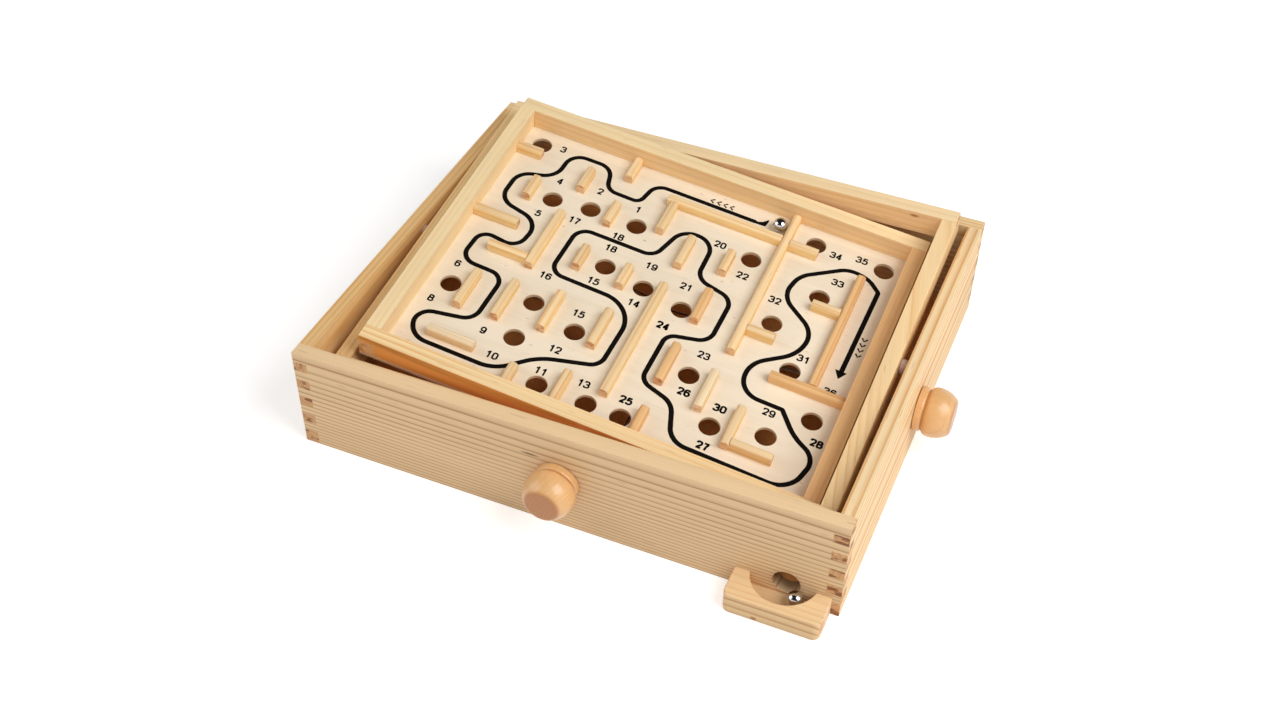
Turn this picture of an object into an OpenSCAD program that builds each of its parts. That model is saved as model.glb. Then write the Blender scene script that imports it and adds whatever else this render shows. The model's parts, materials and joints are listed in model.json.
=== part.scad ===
// Tilting ball maze: a maze board hung in a ring inside a pine box and tilted by two knobs.
// Lengths are in millimetres and angles in degrees. Z is up and the front wall faces -Y.

/* [Box] */
// Outside width of the box, left to right
box_w = 300; // [298:1:312]
// Outside depth of the box, front to back
box_d = 252; // [250:1:264]
// Height of the four walls
box_h = 63.5; // [62:0.5:68]
// Thickness of the four walls
wall_t = 8; // [7.5:0.5:9]
// Number of fingers over the height of each corner joint
fingers = 10; // [8:2:12]
// Extra height of the lowest finger
finger_extra = 2.5; // [0:0.5:3]
// Thickness of the sloped floor panel
floor_t = 2; // [1.5:0.5:2]
// Height of the floor's top at its lowest corner, front right
floor_low = 4.7; // [2.2:0.1:5]
// Slope of the floor along each side
floor_slope = 1; // [0.5:0.1:1.2]
// Side of the square blocks under the floor's corners
block_w = 14; // [10:1:20]

/* [Outlet and tray] */
// Distance of the outlet hole's centre from the right end of the box
outlet_in = 28; // [26:1:32]
// Height of the outlet hole's centre
outlet_z = 12.3; // [12:0.1:13]
// Diameter of the outlet hole
outlet_d = 14.6; // [12:0.2:14.6]
// Width of the ball tray
tray_w = 50; // [44:1:54]
// Depth of the ball tray in front of the wall
tray_d = 19; // [18:0.5:24]
// Height of the ball tray
tray_h = 12.5; // [11:0.5:14]
// Distance of the tray from the right end of the box
tray_in = 4.5; // [4:0.5:7]
// Radius of the tray's front corners
tray_round = 4; // [2:0.5:6]
// Radius of the round recess in the tray
recess_r = 17.2; // [15:0.1:17.6]
// Distance of the recess's centre behind the front of the wall
recess_in = 3; // [2.5:0.5:4]
// Thickness of the tray under the recess
recess_floor = 4; // [1:0.25:4.5]

/* [Ring and board frame] */
// Gap between the box walls and the ring
ring_gap = 4.5; // [4:0.5:6]
// Gap between the ring and the board frame
frame_gap = 3.5; // [3:0.5:5]
// Thickness of every rail
rail_t = 8.5; // [8:0.5:9.5]
// Height of the ring's rails
ring_h = 15; // [14:0.5:16]
// Height of the board frame's rails above the board
frame_h = 13; // [12.5:0.5:14]
// Height of the rail tops above the pivot axes
rail_top = 8.5; // [8:0.25:9]
// Height of the upper finger at each rail corner
lap_h = 4.5; // [4:0.5:6]
// Depth of the pivot axes below the top of the box
pivot_drop = 9; // [9:0.5:11]
// Diameter of the pivot pins
pin_d = 3; // [2.5:0.25:3.5]
// Depth of a pivot pin in the rail that turns on it
pin_in = 6; // [4:0.5:7]
// Depth of a pivot pin in the wall or rail that carries it
pin_hold = 6; // [4:0.5:7]
// Outside diameter of the spacer bushes
bush_d = 8; // [5:0.5:8]

/* [Tilt] */
// Tilt of the ring as modelled, back side up
ring_rest = 6.8; // [0:0.2:6.8]
// Largest tilt of the ring either way
ring_limit = 7; // [7:0.1:7.4]
// Tilt of the board in the ring as modelled, left side up
board_rest = 7.4; // [0:0.2:7.4]
// Largest tilt of the board either way
board_limit = 7.5; // [7.5:0.1:7.8]

/* [Maze] */
// Thickness of the maze board
board_t = 2; // [1.5:0.5:3]
// Diameter of the holes in the board
hole_d = 11.6; // [10:0.2:11.6]
// Width of the strips
strip_w = 5; // [4.5:0.5:6]
// Height of the strips
strip_h = 6; // [5:0.5:8]
// Radius of the strips' upper edges
strip_round = 2; // [0.5:0.25:2.25]
// Diameter of the steel balls
ball_d = 8.5; // [7.5:0.25:9]
// Height of the modelled balls above what they roll on
ball_gap = 0.3; // [0.2:0.1:0.5]

/* [Knobs and shafts] */
// Diameter of the shafts
shaft_d = 2.8; // [2.4:0.2:3]
// Depth of a shaft's far end in the wall
shaft_in = 5; // [3:0.5:6]
// Depth of a shaft in its knob
shaft_grip = 14; // [8:1:16]
// Radius of the ball-shaped knob body
knob_r = 13.5; // [12:0.5:14]
// Length of a knob from the wall to its flat end
knob_len = 19.5; // [18:0.5:20]
// Distance of the knob body's centre from the wall end
knob_mid = 9.5; // [9:0.5:10]
// Radius of the collar at the wall end of a knob
collar_r = 12; // [10:0.2:12.2]
// Length of that collar
collar_len = 4.5; // [4:0.5:5]
// Radius of the collar's rounded edge
collar_round = 1.4; // [0.5:0.1:1.6]
// Outside diameter of the retaining rings on the shafts
stop_d = 8; // [6:0.5:10]
// Length of the retaining rings
stop_len = 3; // [2:0.5:5]

/* [Cords] */
// Diameter of the cords
cord_d = 0.8; // [0.6:0.1:0.8]
// Turns of each cord on its shaft
cord_turns = 3; // [2:1:4]
// Distance of each winding from the middle of the box
cord_off = 15; // [12:0.5:18]
// Distance of the screw eyes' centres below the rails
eye_drop = 3.2; // [3:0.1:4]
// Radius of a screw eye, to the middle of its wire
eye_r = 1.6; // [1.6:0.1:2]
// Diameter of a screw eye's wire
eye_wire = 1.2; // [1:0.1:1.2]
// Length of a screw eye's shank in the wood
eye_shank = 6; // [5:0.5:7]

/* [Clearances] */
// Gap between pieces that move past each other
slip = 0.3; // [0.3:0.05:0.5]
// Radial play of pins and shafts in their bores
play = 0.05; // [0.03:0.01:0.1]

/* [Hidden] */
$fn = 64;

// Overlap of a cutting shape past the face that it cuts
cut = 1;
// Facets around a cord, and steps per turn of its winding
cord_sides = 8;
turn_steps = 16;
// Space between the turns of a winding
turn_space = 0.45;

// Colours of the woods, the metal, the bushes and the cords
pine = [0.87, 0.71, 0.49];
pale_pine = [0.93, 0.81, 0.60];
plywood = [0.94, 0.87, 0.75];
lacquered = [0.85, 0.60, 0.33];
dark_floor = [0.42, 0.25, 0.14];
steel = [0.72, 0.72, 0.74];
bush_grey = [0.74, 0.66, 0.64];
cord_black = [0.12, 0.11, 0.11];

// The origin is under the middle of all that the object takes up, so the box sits off it
knob_out = slip + knob_len;
box_x = -knob_out / 2;
box_y = knob_out / 2;
inner_w = box_w - 2 * wall_t;
inner_d = box_d - 2 * wall_t;
finger_h = (box_h - finger_extra) / fingers;
outlet_x = box_w / 2 - outlet_in;
tray_x = (box_w - tray_w) / 2 - tray_in;

// Outside sizes of the ring and of the board frame, and half the board's open field
ring_w = inner_w - 2 * ring_gap;
ring_d = inner_d - 2 * ring_gap;
frame_w = ring_w - 2 * rail_t - 2 * frame_gap;
frame_d = ring_d - 2 * rail_t - 2 * frame_gap;
field_x = frame_w / 2 - rail_t;
field_y = frame_d / 2 - rail_t;

// Heights below and above the pivot axes
pivot_z = box_h - pivot_drop;
ring_low = ring_h - rail_top;
board_top = rail_top - frame_h;
board_low = board_top - board_t;

// Each shaft passes under the lowest place of the rail that swings above it
shaft_r = shaft_d / 2;
ring_drop = ring_d / 2 * sin(ring_limit) + ring_low * cos(ring_limit);
frame_drop = frame_w / 2 * sin(board_limit) - board_low * cos(board_limit);
front_shaft_z = pivot_z - ring_drop - slip - shaft_r;
right_shaft_z = min(pivot_z - frame_drop - slip - shaft_r, front_shaft_z - shaft_d - slip);
wind_r = shaft_r + cord_d / 2 + play;

// Places of the screw eyes, at the middle of the rails
ring_eye_y = ring_d / 2 - rail_t / 2;
frame_eye_x = frame_w / 2 - rail_t / 2;

// Lengths of the pivot pins
wall_pin_len = pin_hold + ring_gap + pin_in;
ring_pin_len = pin_hold + frame_gap + pin_in;

// Knot at a cord's end: distances behind the eye and radii there
KNOT = [[2.2, 0.6], [1.7, 1.25], [0.9, 1.25], [0.5, cord_d / 2]];

// Half sizes of the field that the maze's plan is drawn for, and the plan's stretch to the real field
plan_x = 117;
plan_y = 93;
kx = field_x / plan_x;
ky = field_y / plan_y;

// Middle lines of the strips that other pieces meet
divider_x = 50 * kx;
start_y = 72.5 * ky;
finish_x = 97.5 * kx;
goal_y = -21.5 * ky;
hook_x = -72 * kx;
corner_x = 69 * kx;
strip_half = strip_w / 2;

// Strips on the board, in its own axes: name, axis that it runs along, middle line, start and end
STRIPS = [
    ["strip_divider", "y", divider_x, -16 * ky, field_y],
    ["strip_start", "x", start_y, -22 * kx, divider_x - strip_half],
    ["strip_finish", "y", finish_x, goal_y + strip_half, 66 * ky],
    ["strip_goal", "x", goal_y, 74.5 * kx, field_x],
    ["strip_centre", "y", 0.5 * kx, -72 * ky, 11 * ky],
    ["strip_hook", "y", hook_x, -10 * ky, 34.5 * ky],
    ["strip_hook_foot", "x", -5.5 * ky, -98 * kx, hook_x - strip_half],
    ["strip_back_1", "y", -17.5 * kx, 47 * ky, start_y - strip_half],
    ["strip_back_2", "y", 1.5 * kx, 27.5 * ky, 50.5 * ky],
    ["strip_back_3", "y", 24.5 * kx, -5 * ky, 18.5 * ky],
    ["strip_left_1", "x", 15.5 * ky, -field_x, -90 * kx],
    ["strip_left_2", "y", -94 * kx, -53 * ky, -26.5 * ky],
    ["strip_left_3", "y", -72.5 * kx, -51.5 * ky, -24 * ky],
    ["strip_left_4", "x", -74 * ky, -99.5 * kx, -72.5 * kx],
    ["strip_mid_1", "y", -47 * kx, -47.5 * ky, -20 * ky],
    ["strip_mid_2", "y", -18.5 * kx, -46 * ky, -19.5 * ky],
    ["strip_front_1", "y", -21 * kx, -field_y, -67.5 * ky],
    ["strip_front_2", "y", 24 * kx, -field_y, -71 * ky],
    ["strip_right_1", "y", 23 * kx, -52 * ky, -25 * ky],
    ["strip_right_2", "y", 48 * kx, -59 * ky, -32.5 * ky],
    ["strip_right_3", "y", corner_x, -75 * ky, -48.5 * ky],
    ["strip_right_4", "x", -72 * ky, corner_x + strip_half, 94.5 * kx],
    ["strips_short_left", "y", -49 * kx, 76.5 * ky, field_y],
    ["strips_short_left", "y", -70.5 * kx, 56 * ky, 73 * ky],
    ["strips_short_left", "y", -95.5 * kx, 36.5 * ky, 52.5 * ky],
    ["strips_short_left", "y", -46.5 * kx, 38.5 * ky, 55 * ky],
    ["strips_short_left", "x", 71.5 * ky, -field_x, -101.5 * kx],
    ["strips_short_mid", "y", -48.5 * kx, 1 * ky, 17 * ky],
    ["strips_short_mid", "y", -21.5 * kx, -1 * ky, 15 * ky],
    ["strips_short_mid", "y", -48.5 * kx, -field_y, -76 * ky],
    ["strips_short_right", "y", 25.5 * kx, 34 * ky, 51 * ky],
    ["strips_short_right", "x", 71.5 * ky, divider_x + strip_half, 69.5 * kx],
    ["strips_short_right", "x", 35.5 * ky, 78.5 * kx, finish_x - strip_half],
    ["strips_short_right", "x", 3 * ky, divider_x + strip_half, 68.5 * kx]
];

// Places of the balls: the start ball lies against the divider, the tray ball clear of the wall
start_ball_x = divider_x - strip_half - slip - ball_d / 2;
start_ball_y = 82 * ky;
tray_ball_x = tray_x + 8;
tray_ball_y = -box_d / 2 - ball_d / 2 - 0.8;

// Centres of the holes in the maze board, in the plan's own lengths
HOLES = [
    [-106, 81], [-82, 44], [-59.5, 47], [-31, 47], [-34.5, 11], [-9.5, 6], [-104.5, -38.5],
    [-58.5, -30.5], [-57.5, -57], [-30.5, -39], [-33.5, -80], [-5.5, -80], [14, -80], [36.5, 53.5],
    [15, 1.5], [35.5, -38.5], [57.5, -64.5], [86, -57.5], [104.5, -37.5], [83, -11.5], [63, 15],
    [80.5, 44.5], [66, 81], [107, 80]
];

// Frames of the box, the tilted ring and the tilted board
module on_box() translate([box_x, box_y, 0]) children();
module on_ring() on_box() translate([0, 0, pivot_z]) rotate([ring_rest, 0, 0]) children();
module on_board() on_ring() rotate([0, board_rest, 0]) children();

// Direction of a point after the ring's tilt, and after the board's and the ring's
function ring_turn(p) = [
    p[0],
    p[1] * cos(ring_rest) - p[2] * sin(ring_rest),
    p[1] * sin(ring_rest) + p[2] * cos(ring_rest)
];
function board_turn(p) = ring_turn([
    p[0] * cos(board_rest) + p[2] * sin(board_rest),
    p[1],
    p[2] * cos(board_rest) - p[0] * sin(board_rest)
]);

// Bore along X or along Y, centred on a point
module bore_x(p, d, l) translate(p) rotate([0, 90, 0]) cylinder(d = d, h = l, center = true);
module bore_y(p, d, l) translate(p) rotate([90, 0, 0]) cylinder(d = d, h = l, center = true);

// Slots between the fingers at both ends of a wall that runs along X, from finger number first
module finger_slots(length, first)
    for (side = [-1, 1], i = [first:2:fingers - 1]) {
        top = box_h - i * finger_h;
        low = i == fingers - 1 ? -cut : top - finger_h;
        translate([side * (length - wall_t + cut) / 2, 0, (top + low) / 2])
            cube([wall_t + cut, wall_t + cut, top - low], center = true);
    }

// Wall along X with its outer face on Y = 0 and its inner face at Y = wall_t
module wall(length, first) difference() {
    translate([-length / 2, 0, 0]) cube([length, wall_t, box_h]);
    translate([0, wall_t / 2, 0]) finger_slots(length, first);
}

module front_wall() color(pine) on_box() difference() {
    translate([0, -box_d / 2, 0]) wall(box_w, 1);
    bore_y([0, (wall_t - box_d) / 2, front_shaft_z], shaft_d + 2 * play, wall_t + cut);
    bore_y([outlet_x, (wall_t - box_d) / 2, outlet_z], outlet_d, wall_t + cut);
}

module back_wall() color(pine) on_box() difference() {
    translate([0, box_d / 2, 0]) rotate([0, 0, 180]) wall(box_w, 1);
    bore_y([0, inner_d / 2, front_shaft_z], shaft_d + 2 * play, 2 * (shaft_in + slip));
}

module side_wall() difference() {
    translate([box_w / 2, 0, 0]) rotate([0, 0, 90]) wall(box_d, 0);
    bore_x([inner_w / 2, 0, pivot_z], pin_d, 2 * pin_hold);
}

module left_wall() color(pine) on_box() difference() {
    mirror([1, 0, 0]) side_wall();
    bore_x([-inner_w / 2, 0, right_shaft_z], shaft_d + 2 * play, 2 * (shaft_in + slip));
}

module right_wall() color(pine) on_box() difference() {
    side_wall();
    bore_x([(box_w - wall_t) / 2, 0, right_shaft_z], shaft_d + 2 * play, wall_t + cut);
}

// Space above the floor's top, lowered by drop, inside the walls
module above_floor(drop)
    translate([inner_w / 2, -inner_d / 2, floor_low - drop]) rotate([floor_slope, floor_slope, 0])
        translate([-2 * box_w, -box_d, 0]) cube([3 * box_w, 3 * box_d, box_h]);

module floor_panel() color(dark_floor) on_box() intersection() {
    translate([-inner_w / 2, -inner_d / 2, 0]) cube([inner_w, inner_d, box_h]);
    difference() {
        above_floor(floor_t);
        above_floor(0);
    }
}

module floor_blocks() color(pine) on_box() difference() {
    for (side = [[-1, -1], [-1, 1], [1, 1]])
        translate([side[0] * (inner_w - block_w) / 2, side[1] * (inner_d - block_w) / 2, box_h / 4])
            cube([block_w, block_w, box_h / 2], center = true);
    above_floor(floor_t);
}

module ball_tray() color(pine) on_box() translate([tray_x, -box_d / 2, 0]) difference() {
    linear_extrude(tray_h) {
        translate([-tray_w / 2, -tray_d + tray_round]) square([tray_w, tray_d - tray_round]);
        translate([-tray_w / 2 + tray_round, -tray_d]) square([tray_w - 2 * tray_round, tray_d]);
        for (side = [-1, 1])
            translate([side * (tray_w / 2 - tray_round), -tray_d + tray_round]) circle(tray_round);
    }
    translate([0, recess_in, recess_floor]) cylinder(r = recess_r, h = tray_h);
}

// Pins that hang the ring in the side walls
module wall_pins() color(steel) on_box()
    for (side = [-1, 1])
        bore_x([side * ((inner_w - wall_pin_len) / 2 + pin_hold), 0, pivot_z], pin_d, wall_pin_len);

// Tube on a pin along Z
module bush(length) difference() {
    cylinder(d = bush_d, h = length);
    translate([0, 0, -cut / 2]) cylinder(d = pin_d, h = length + cut);
}

module wall_bushes() color(bush_grey) on_box()
    for (side = [0, 1])
        mirror([side, 0, 0]) translate([inner_w / 2, 0, pivot_z]) rotate([0, -90, 0]) bush(ring_gap - slip);

// Rail along X, centred, from its outer face at Y = 0 inward, with its top at rail_top.
// Its ends keep their upper finger, or where low is true the part under it.
module rail(length, height, low) translate([0, 0, rail_top - height]) difference() {
    translate([-length / 2, 0, 0]) cube([length, rail_t, height]);
    for (side = [-1, 1])
        translate([side * (length - rail_t + cut) / 2, rail_t / 2, low ? height : 0])
            cube([rail_t + cut, rail_t + cut, 2 * (low ? lap_h : height - lap_h)], center = true);
}

// Blind hole under a rail for a screw eye's shank
module eye_hole(p) translate([p[0], p[1], p[2] - cut]) cylinder(d = eye_wire, h = eye_shank + cut);

module ring_long_rail() difference() {
    translate([0, -ring_d / 2, 0]) rail(ring_w, ring_h, false);
    bore_y([0, rail_t - ring_d / 2, 0], pin_d, 2 * pin_hold);
    eye_hole([cord_off, -ring_eye_y, -ring_low]);
}

module ring_front() color(pine) on_ring() ring_long_rail();

module ring_back() color(pine) on_ring() mirror([0, 1, 0]) ring_long_rail();

module ring_side_rail() difference() {
    rotate([0, 0, 90]) translate([0, -ring_w / 2, 0]) rail(ring_d, ring_h, true);
    bore_x([ring_w / 2, 0, 0], pin_d + 2 * play, 2 * (pin_in + slip));
}

module ring_left() color(pine) on_ring() mirror([1, 0, 0]) ring_side_rail();

module ring_right() color(pine) on_ring() ring_side_rail();

// Pins that hang the board frame in the ring
module ring_pins() color(steel) on_ring()
    for (side = [-1, 1])
        bore_y([0, side * ((ring_d - ring_pin_len) / 2 - rail_t + pin_hold), 0], pin_d, ring_pin_len);

module ring_bushes() color(bush_grey) on_ring()
    for (side = [0, 1])
        mirror([0, side, 0]) translate([0, ring_d / 2 - rail_t, 0]) rotate([90, 0, 0]) bush(frame_gap - slip);

// Screw eye that hangs under the point p, with the axis of its ring along Y
module screw_eye(p, shank) translate(p) {
    translate([0, 0, -eye_drop]) rotate([90, 0, 0])
        rotate_extrude() translate([eye_r, 0]) circle(d = eye_wire);
    translate([0, 0, eye_r - eye_drop]) cylinder(d = eye_wire, h = shank + eye_drop - eye_r);
}

module ring_eyes() color(steel) on_ring()
    for (side = [-1, 1]) screw_eye([cord_off, side * ring_eye_y, -ring_low], eye_shank);

module frame_long_rail() difference() {
    translate([0, -frame_d / 2, 0]) rail(frame_w, frame_h, false);
    bore_y([0, -frame_d / 2, 0], pin_d + 2 * play, 2 * (pin_in + slip));
}

module frame_front() color(pine) on_board() frame_long_rail();

module frame_back() color(pine) on_board() mirror([0, 1, 0]) frame_long_rail();

module frame_side_rail() difference() {
    rotate([0, 0, 90]) translate([0, -frame_w / 2, 0]) rail(frame_d, frame_h, true);
    eye_hole([frame_eye_x, cord_off, board_top]);
}

module frame_left() color(pine) on_board() mirror([1, 0, 0]) frame_side_rail();

module frame_right() color(pine) on_board() frame_side_rail();

module frame_eyes() color(steel) on_board()
    for (side = [-1, 1])
        translate([side * frame_eye_x, cord_off, board_low]) rotate([0, 0, 90])
            screw_eye([0, 0, 0], board_t + eye_shank);

module maze_board() color(plywood) on_board() difference() {
    translate([-frame_w / 2, -frame_d / 2, board_low]) cube([frame_w, frame_d, board_t]);
    for (p = HOLES)
        translate([p[0] * kx, p[1] * ky, board_low - cut / 2]) cylinder(d = hole_d, h = board_t + cut);
    for (side = [-1, 1])
        eye_hole([side * frame_eye_x, cord_off, board_low]);
}

// Section of a strip, standing on X with its upper edges rounded
module strip_section() {
    translate([-strip_half, 0]) square([strip_w, strip_h - strip_round]);
    translate([strip_round - strip_half, 0]) square([strip_w - 2 * strip_round, strip_h]);
    for (side = [-1, 1])
        translate([side * (strip_half - strip_round), strip_h - strip_round]) circle(strip_round);
}

// All strips of one name
module strips(name) color(pale_pine) on_board()
    for (s = STRIPS)
        if (s[0] == name)
            translate(s[1] == "x" ? [s[3], s[2], board_top] : [s[2], s[4], board_top])
                rotate([90, 0, s[1] == "x" ? 90 : 0]) linear_extrude(s[4] - s[3]) strip_section();

module strip_divider() strips("strip_divider");
module strip_start() strips("strip_start");
module strip_finish() strips("strip_finish");
module strip_goal() strips("strip_goal");
module strip_centre() strips("strip_centre");
module strip_hook() strips("strip_hook");
module strip_hook_foot() strips("strip_hook_foot");
module strip_back_1() strips("strip_back_1");
module strip_back_2() strips("strip_back_2");
module strip_back_3() strips("strip_back_3");
module strip_left_1() strips("strip_left_1");
module strip_left_2() strips("strip_left_2");
module strip_left_3() strips("strip_left_3");
module strip_left_4() strips("strip_left_4");
module strip_mid_1() strips("strip_mid_1");
module strip_mid_2() strips("strip_mid_2");
module strip_front_1() strips("strip_front_1");
module strip_front_2() strips("strip_front_2");
module strip_right_1() strips("strip_right_1");
module strip_right_2() strips("strip_right_2");
module strip_right_3() strips("strip_right_3");
module strip_right_4() strips("strip_right_4");
module strips_short_left() strips("strips_short_left");
module strips_short_mid() strips("strips_short_mid");
module strips_short_right() strips("strips_short_right");

// Turned knob with its wall end on Z = 0 and a blind bore for the shaft
module knob() rotate_extrude($fn = 96) difference() {
    union() {
        square([collar_r, collar_len - collar_round]);
        square([collar_r - collar_round, collar_len]);
        translate([collar_r - collar_round, collar_len - collar_round]) circle(collar_round);
        intersection() {
            translate([0, knob_mid]) circle(knob_r);
            translate([0, collar_len]) square([2 * knob_r, knob_len - collar_len]);
        }
    }
    translate([0, -cut]) square([shaft_r, shaft_grip + cut]);
    translate([-2 * knob_r, -cut]) square([2 * knob_r, 2 * knob_len]);
}

// Shaft from the blind bore in the far wall into the knob, along Z from the near wall's outer face
module shaft(span, wall_far) translate([0, 0, -span + wall_far - shaft_in])
    cylinder(d = shaft_d, h = span - wall_far + shaft_in + slip + shaft_grip);

// Ring on the shaft behind the near wall
module shaft_stop() translate([0, 0, -wall_t - slip - stop_len]) difference() {
    cylinder(d = stop_d, h = stop_len);
    translate([0, 0, -cut / 2]) cylinder(d = shaft_d, h = stop_len + cut);
}

// Places at the near wall's outer face with Z out of the wall
module at_right_knob() on_box() translate([box_w / 2, 0, right_shaft_z]) rotate([0, 90, 0]) children();
module at_front_knob() on_box() translate([0, -box_d / 2, front_shaft_z]) rotate([90, 0, 0]) children();

module right_knob() color(lacquered) at_right_knob() translate([0, 0, slip]) knob();

module right_shaft() color(steel) at_right_knob() shaft(box_w, wall_t);

module right_stop() color(steel) at_right_knob() shaft_stop();

module front_knob() color(lacquered) at_front_knob() translate([0, 0, slip]) knob();

module front_shaft() color(steel) at_front_knob() shaft(box_d, wall_t);

module front_stop() color(steel) at_front_knob() shaft_stop();

function unit(v) = v / norm(v);
function backward(list) = [for (i = [len(list) - 1:-1:0]) list[i]];

// Directions along a path, and a normal carried along it without twist
function directions(path) = [
    for (i = [0:len(path) - 1]) unit(path[min(i + 1, len(path) - 1)] - path[max(i - 1, 0)])
];
function carried(dirs) = [
    for (
        i = 0, n = unit(cross(dirs[0], [0.3, 0.5, 1]));
        i < len(dirs);
        i = i + 1, n = i < len(dirs) ? unit(n - dirs[i] * (n * dirs[i])) : n
    ) n
];

// Round tube along a path with a radius at each point
module tube(path, radii) {
    dirs = directions(path);
    normals = carried(dirs);
    last = len(path) - 1;
    points = [
        for (i = [0:last], k = [0:cord_sides - 1])
            path[i] + radii[i] * (cos(360 * k / cord_sides) * normals[i]
                + sin(360 * k / cord_sides) * cross(dirs[i], normals[i]))
    ];
    sides = [
        for (i = [0:last - 1], k = [0:cord_sides - 1])
            let (a = i * cord_sides + k, b = i * cord_sides + (k + 1) % cord_sides)
                each [[a, a + cord_sides, b + cord_sides], [a, b + cord_sides, b]]
    ];
    first_cap = [for (k = [0:cord_sides - 1]) k];
    last_cap = [for (k = [cord_sides - 1:-1:0]) last * cord_sides + k];
    polyhedron(points, concat(sides, [first_cap, last_cap]));
}

// Angle around the shaft's axis at which a straight run to the point d leaves the winding
function leave(d, way) = (atan2(d[1], d[0]) + way * acos(wind_r / norm([d[0], d[1]])) + 720) % 360;

// Winding from one leaving angle to the other, as [across, up, along] from the shaft's axis
function winding(from, to) = [
    for (i = [0:cord_turns * turn_steps])
        let (k = i / (cord_turns * turn_steps), a = from + (to - from) * k)
            [
                wind_r * cos(a),
                wind_r * sin(a),
                (cord_d + turn_space) * cord_turns * (k - 0.5)
            ]
];

// Knot behind an eye, on the line from the point next through the eye at point p
function knot(p, next) = [for (k = KNOT) p + k[0] * unit(p - next)];

// Cord from one eye over the shaft to the other; side is 1 over the top and -1 under it
module cord(e0, e1, side) {
    from = leave(e0, -side);
    to = leave(e1, side) - side * 360 * cord_turns;
    turns = winding(from, to);
    path = concat(knot(e0, turns[0]), turns, backward(knot(e1, turns[len(turns) - 1])));
    knot_radii = [for (k = KNOT) k[1]];
    tube(path, concat(knot_radii, [for (p = turns) cord_d / 2], backward(knot_radii)));
}

// Cord of the ring: across is Y and along is X, under the right knob's shaft
module ring_cord() color(cord_black) on_box() {
    eyes = [
        for (side = [-1, 1])
            ring_turn([cord_off, side * ring_eye_y, -ring_low - eye_drop])
                + [-cord_off, 0, pivot_z - right_shaft_z]
    ];
    translate([cord_off, 0, right_shaft_z]) rotate([90, 0, 90])
        cord([eyes[0][1], eyes[0][2], eyes[0][0]], [eyes[1][1], eyes[1][2], eyes[1][0]], -1);
}

// Cord of the board frame: across is X and along is Y, over the front knob's shaft
module frame_cord() color(cord_black) on_box() {
    eyes = [
        for (side = [-1, 1])
            board_turn([side * frame_eye_x, cord_off, board_low - eye_drop])
                + [0, -cord_off, pivot_z - front_shaft_z]
    ];
    translate([0, cord_off, front_shaft_z]) rotate([90, 0, 0])
        cord([eyes[0][0], eyes[0][2], -eyes[0][1]], [eyes[1][0], eyes[1][2], -eyes[1][1]], 1);
}

module start_ball() color(steel) on_board()
    translate([start_ball_x, start_ball_y, board_top + ball_gap + ball_d / 2]) sphere(d = ball_d);

module tray_ball() color(steel) on_box()
    translate([tray_ball_x, tray_ball_y, recess_floor + ball_gap + ball_d / 2]) sphere(d = ball_d);

front_wall();
back_wall();
left_wall();
right_wall();
floor_panel();
floor_blocks();
ball_tray();
wall_pins();
wall_bushes();
ring_front();
ring_back();
ring_left();
ring_right();
ring_pins();
ring_bushes();
ring_eyes();
frame_front();
frame_back();
frame_left();
frame_right();
frame_eyes();
maze_board();
strip_divider();
strip_start();
strip_finish();
strip_goal();
strip_centre();
strip_hook();
strip_hook_foot();
strip_back_1();
strip_back_2();
strip_back_3();
strip_left_1();
strip_left_2();
strip_left_3();
strip_left_4();
strip_mid_1();
strip_mid_2();
strip_front_1();
strip_front_2();
strip_right_1();
strip_right_2();
strip_right_3();
strip_right_4();
strips_short_left();
strips_short_mid();
strips_short_right();
right_knob();
right_shaft();
right_stop();
front_knob();
front_shaft();
front_stop();
ring_cord();
frame_cord();
start_ball();
tray_ball();
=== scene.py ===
"""Dresses a tilting ball maze: pine box, ring and board frame, printed board, knobs, cords and balls."""
import json
import logging
import math
from dataclasses import dataclass, field, replace
from enum import Enum
from functools import reduce
from typing import Any, Dict, List, Sequence, Tuple, Union

import bmesh
import bpy
import numpy as np
from mathutils import Matrix, Vector


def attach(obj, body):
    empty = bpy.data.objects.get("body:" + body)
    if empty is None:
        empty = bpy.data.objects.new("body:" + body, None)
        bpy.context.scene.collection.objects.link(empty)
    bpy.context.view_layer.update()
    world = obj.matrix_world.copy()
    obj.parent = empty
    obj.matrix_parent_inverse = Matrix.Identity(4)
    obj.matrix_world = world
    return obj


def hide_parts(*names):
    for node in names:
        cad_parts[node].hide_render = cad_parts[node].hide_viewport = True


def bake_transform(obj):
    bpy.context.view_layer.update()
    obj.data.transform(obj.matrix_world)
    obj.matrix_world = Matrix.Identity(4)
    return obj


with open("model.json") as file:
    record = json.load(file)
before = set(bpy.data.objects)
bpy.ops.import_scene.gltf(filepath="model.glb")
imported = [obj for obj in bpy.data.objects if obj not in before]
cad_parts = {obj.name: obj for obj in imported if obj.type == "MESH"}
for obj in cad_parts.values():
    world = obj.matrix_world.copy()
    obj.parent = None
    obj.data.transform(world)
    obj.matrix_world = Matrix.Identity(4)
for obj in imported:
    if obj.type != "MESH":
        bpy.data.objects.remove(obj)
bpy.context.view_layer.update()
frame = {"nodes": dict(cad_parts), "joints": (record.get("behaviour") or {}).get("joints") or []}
LOG = logging.getLogger("ball_maze")

MM = 0.001
FULL_TURN, QUARTER_TURN = 2 * math.pi, math.pi / 2
# Largest angle between faces, in degrees, that is shaded smooth
SMOOTH_BELOW = 32.0
# Decimals of a metre to which vertices at one place agree, and by which solids are put in order
WELD_DECIMALS, ORDER_DECIMALS = 7, 5
# Angles in degrees below which a copy's faces are joined and above which its edges are eased
FLAT_BELOW, EASE_ABOVE = 0.4, 40.0
# Distance in metres within which a copy's vertices are merged, and steps over its eased edges
MERGE_WITHIN, EASE_STEPS = 1e-6, 3
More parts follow.
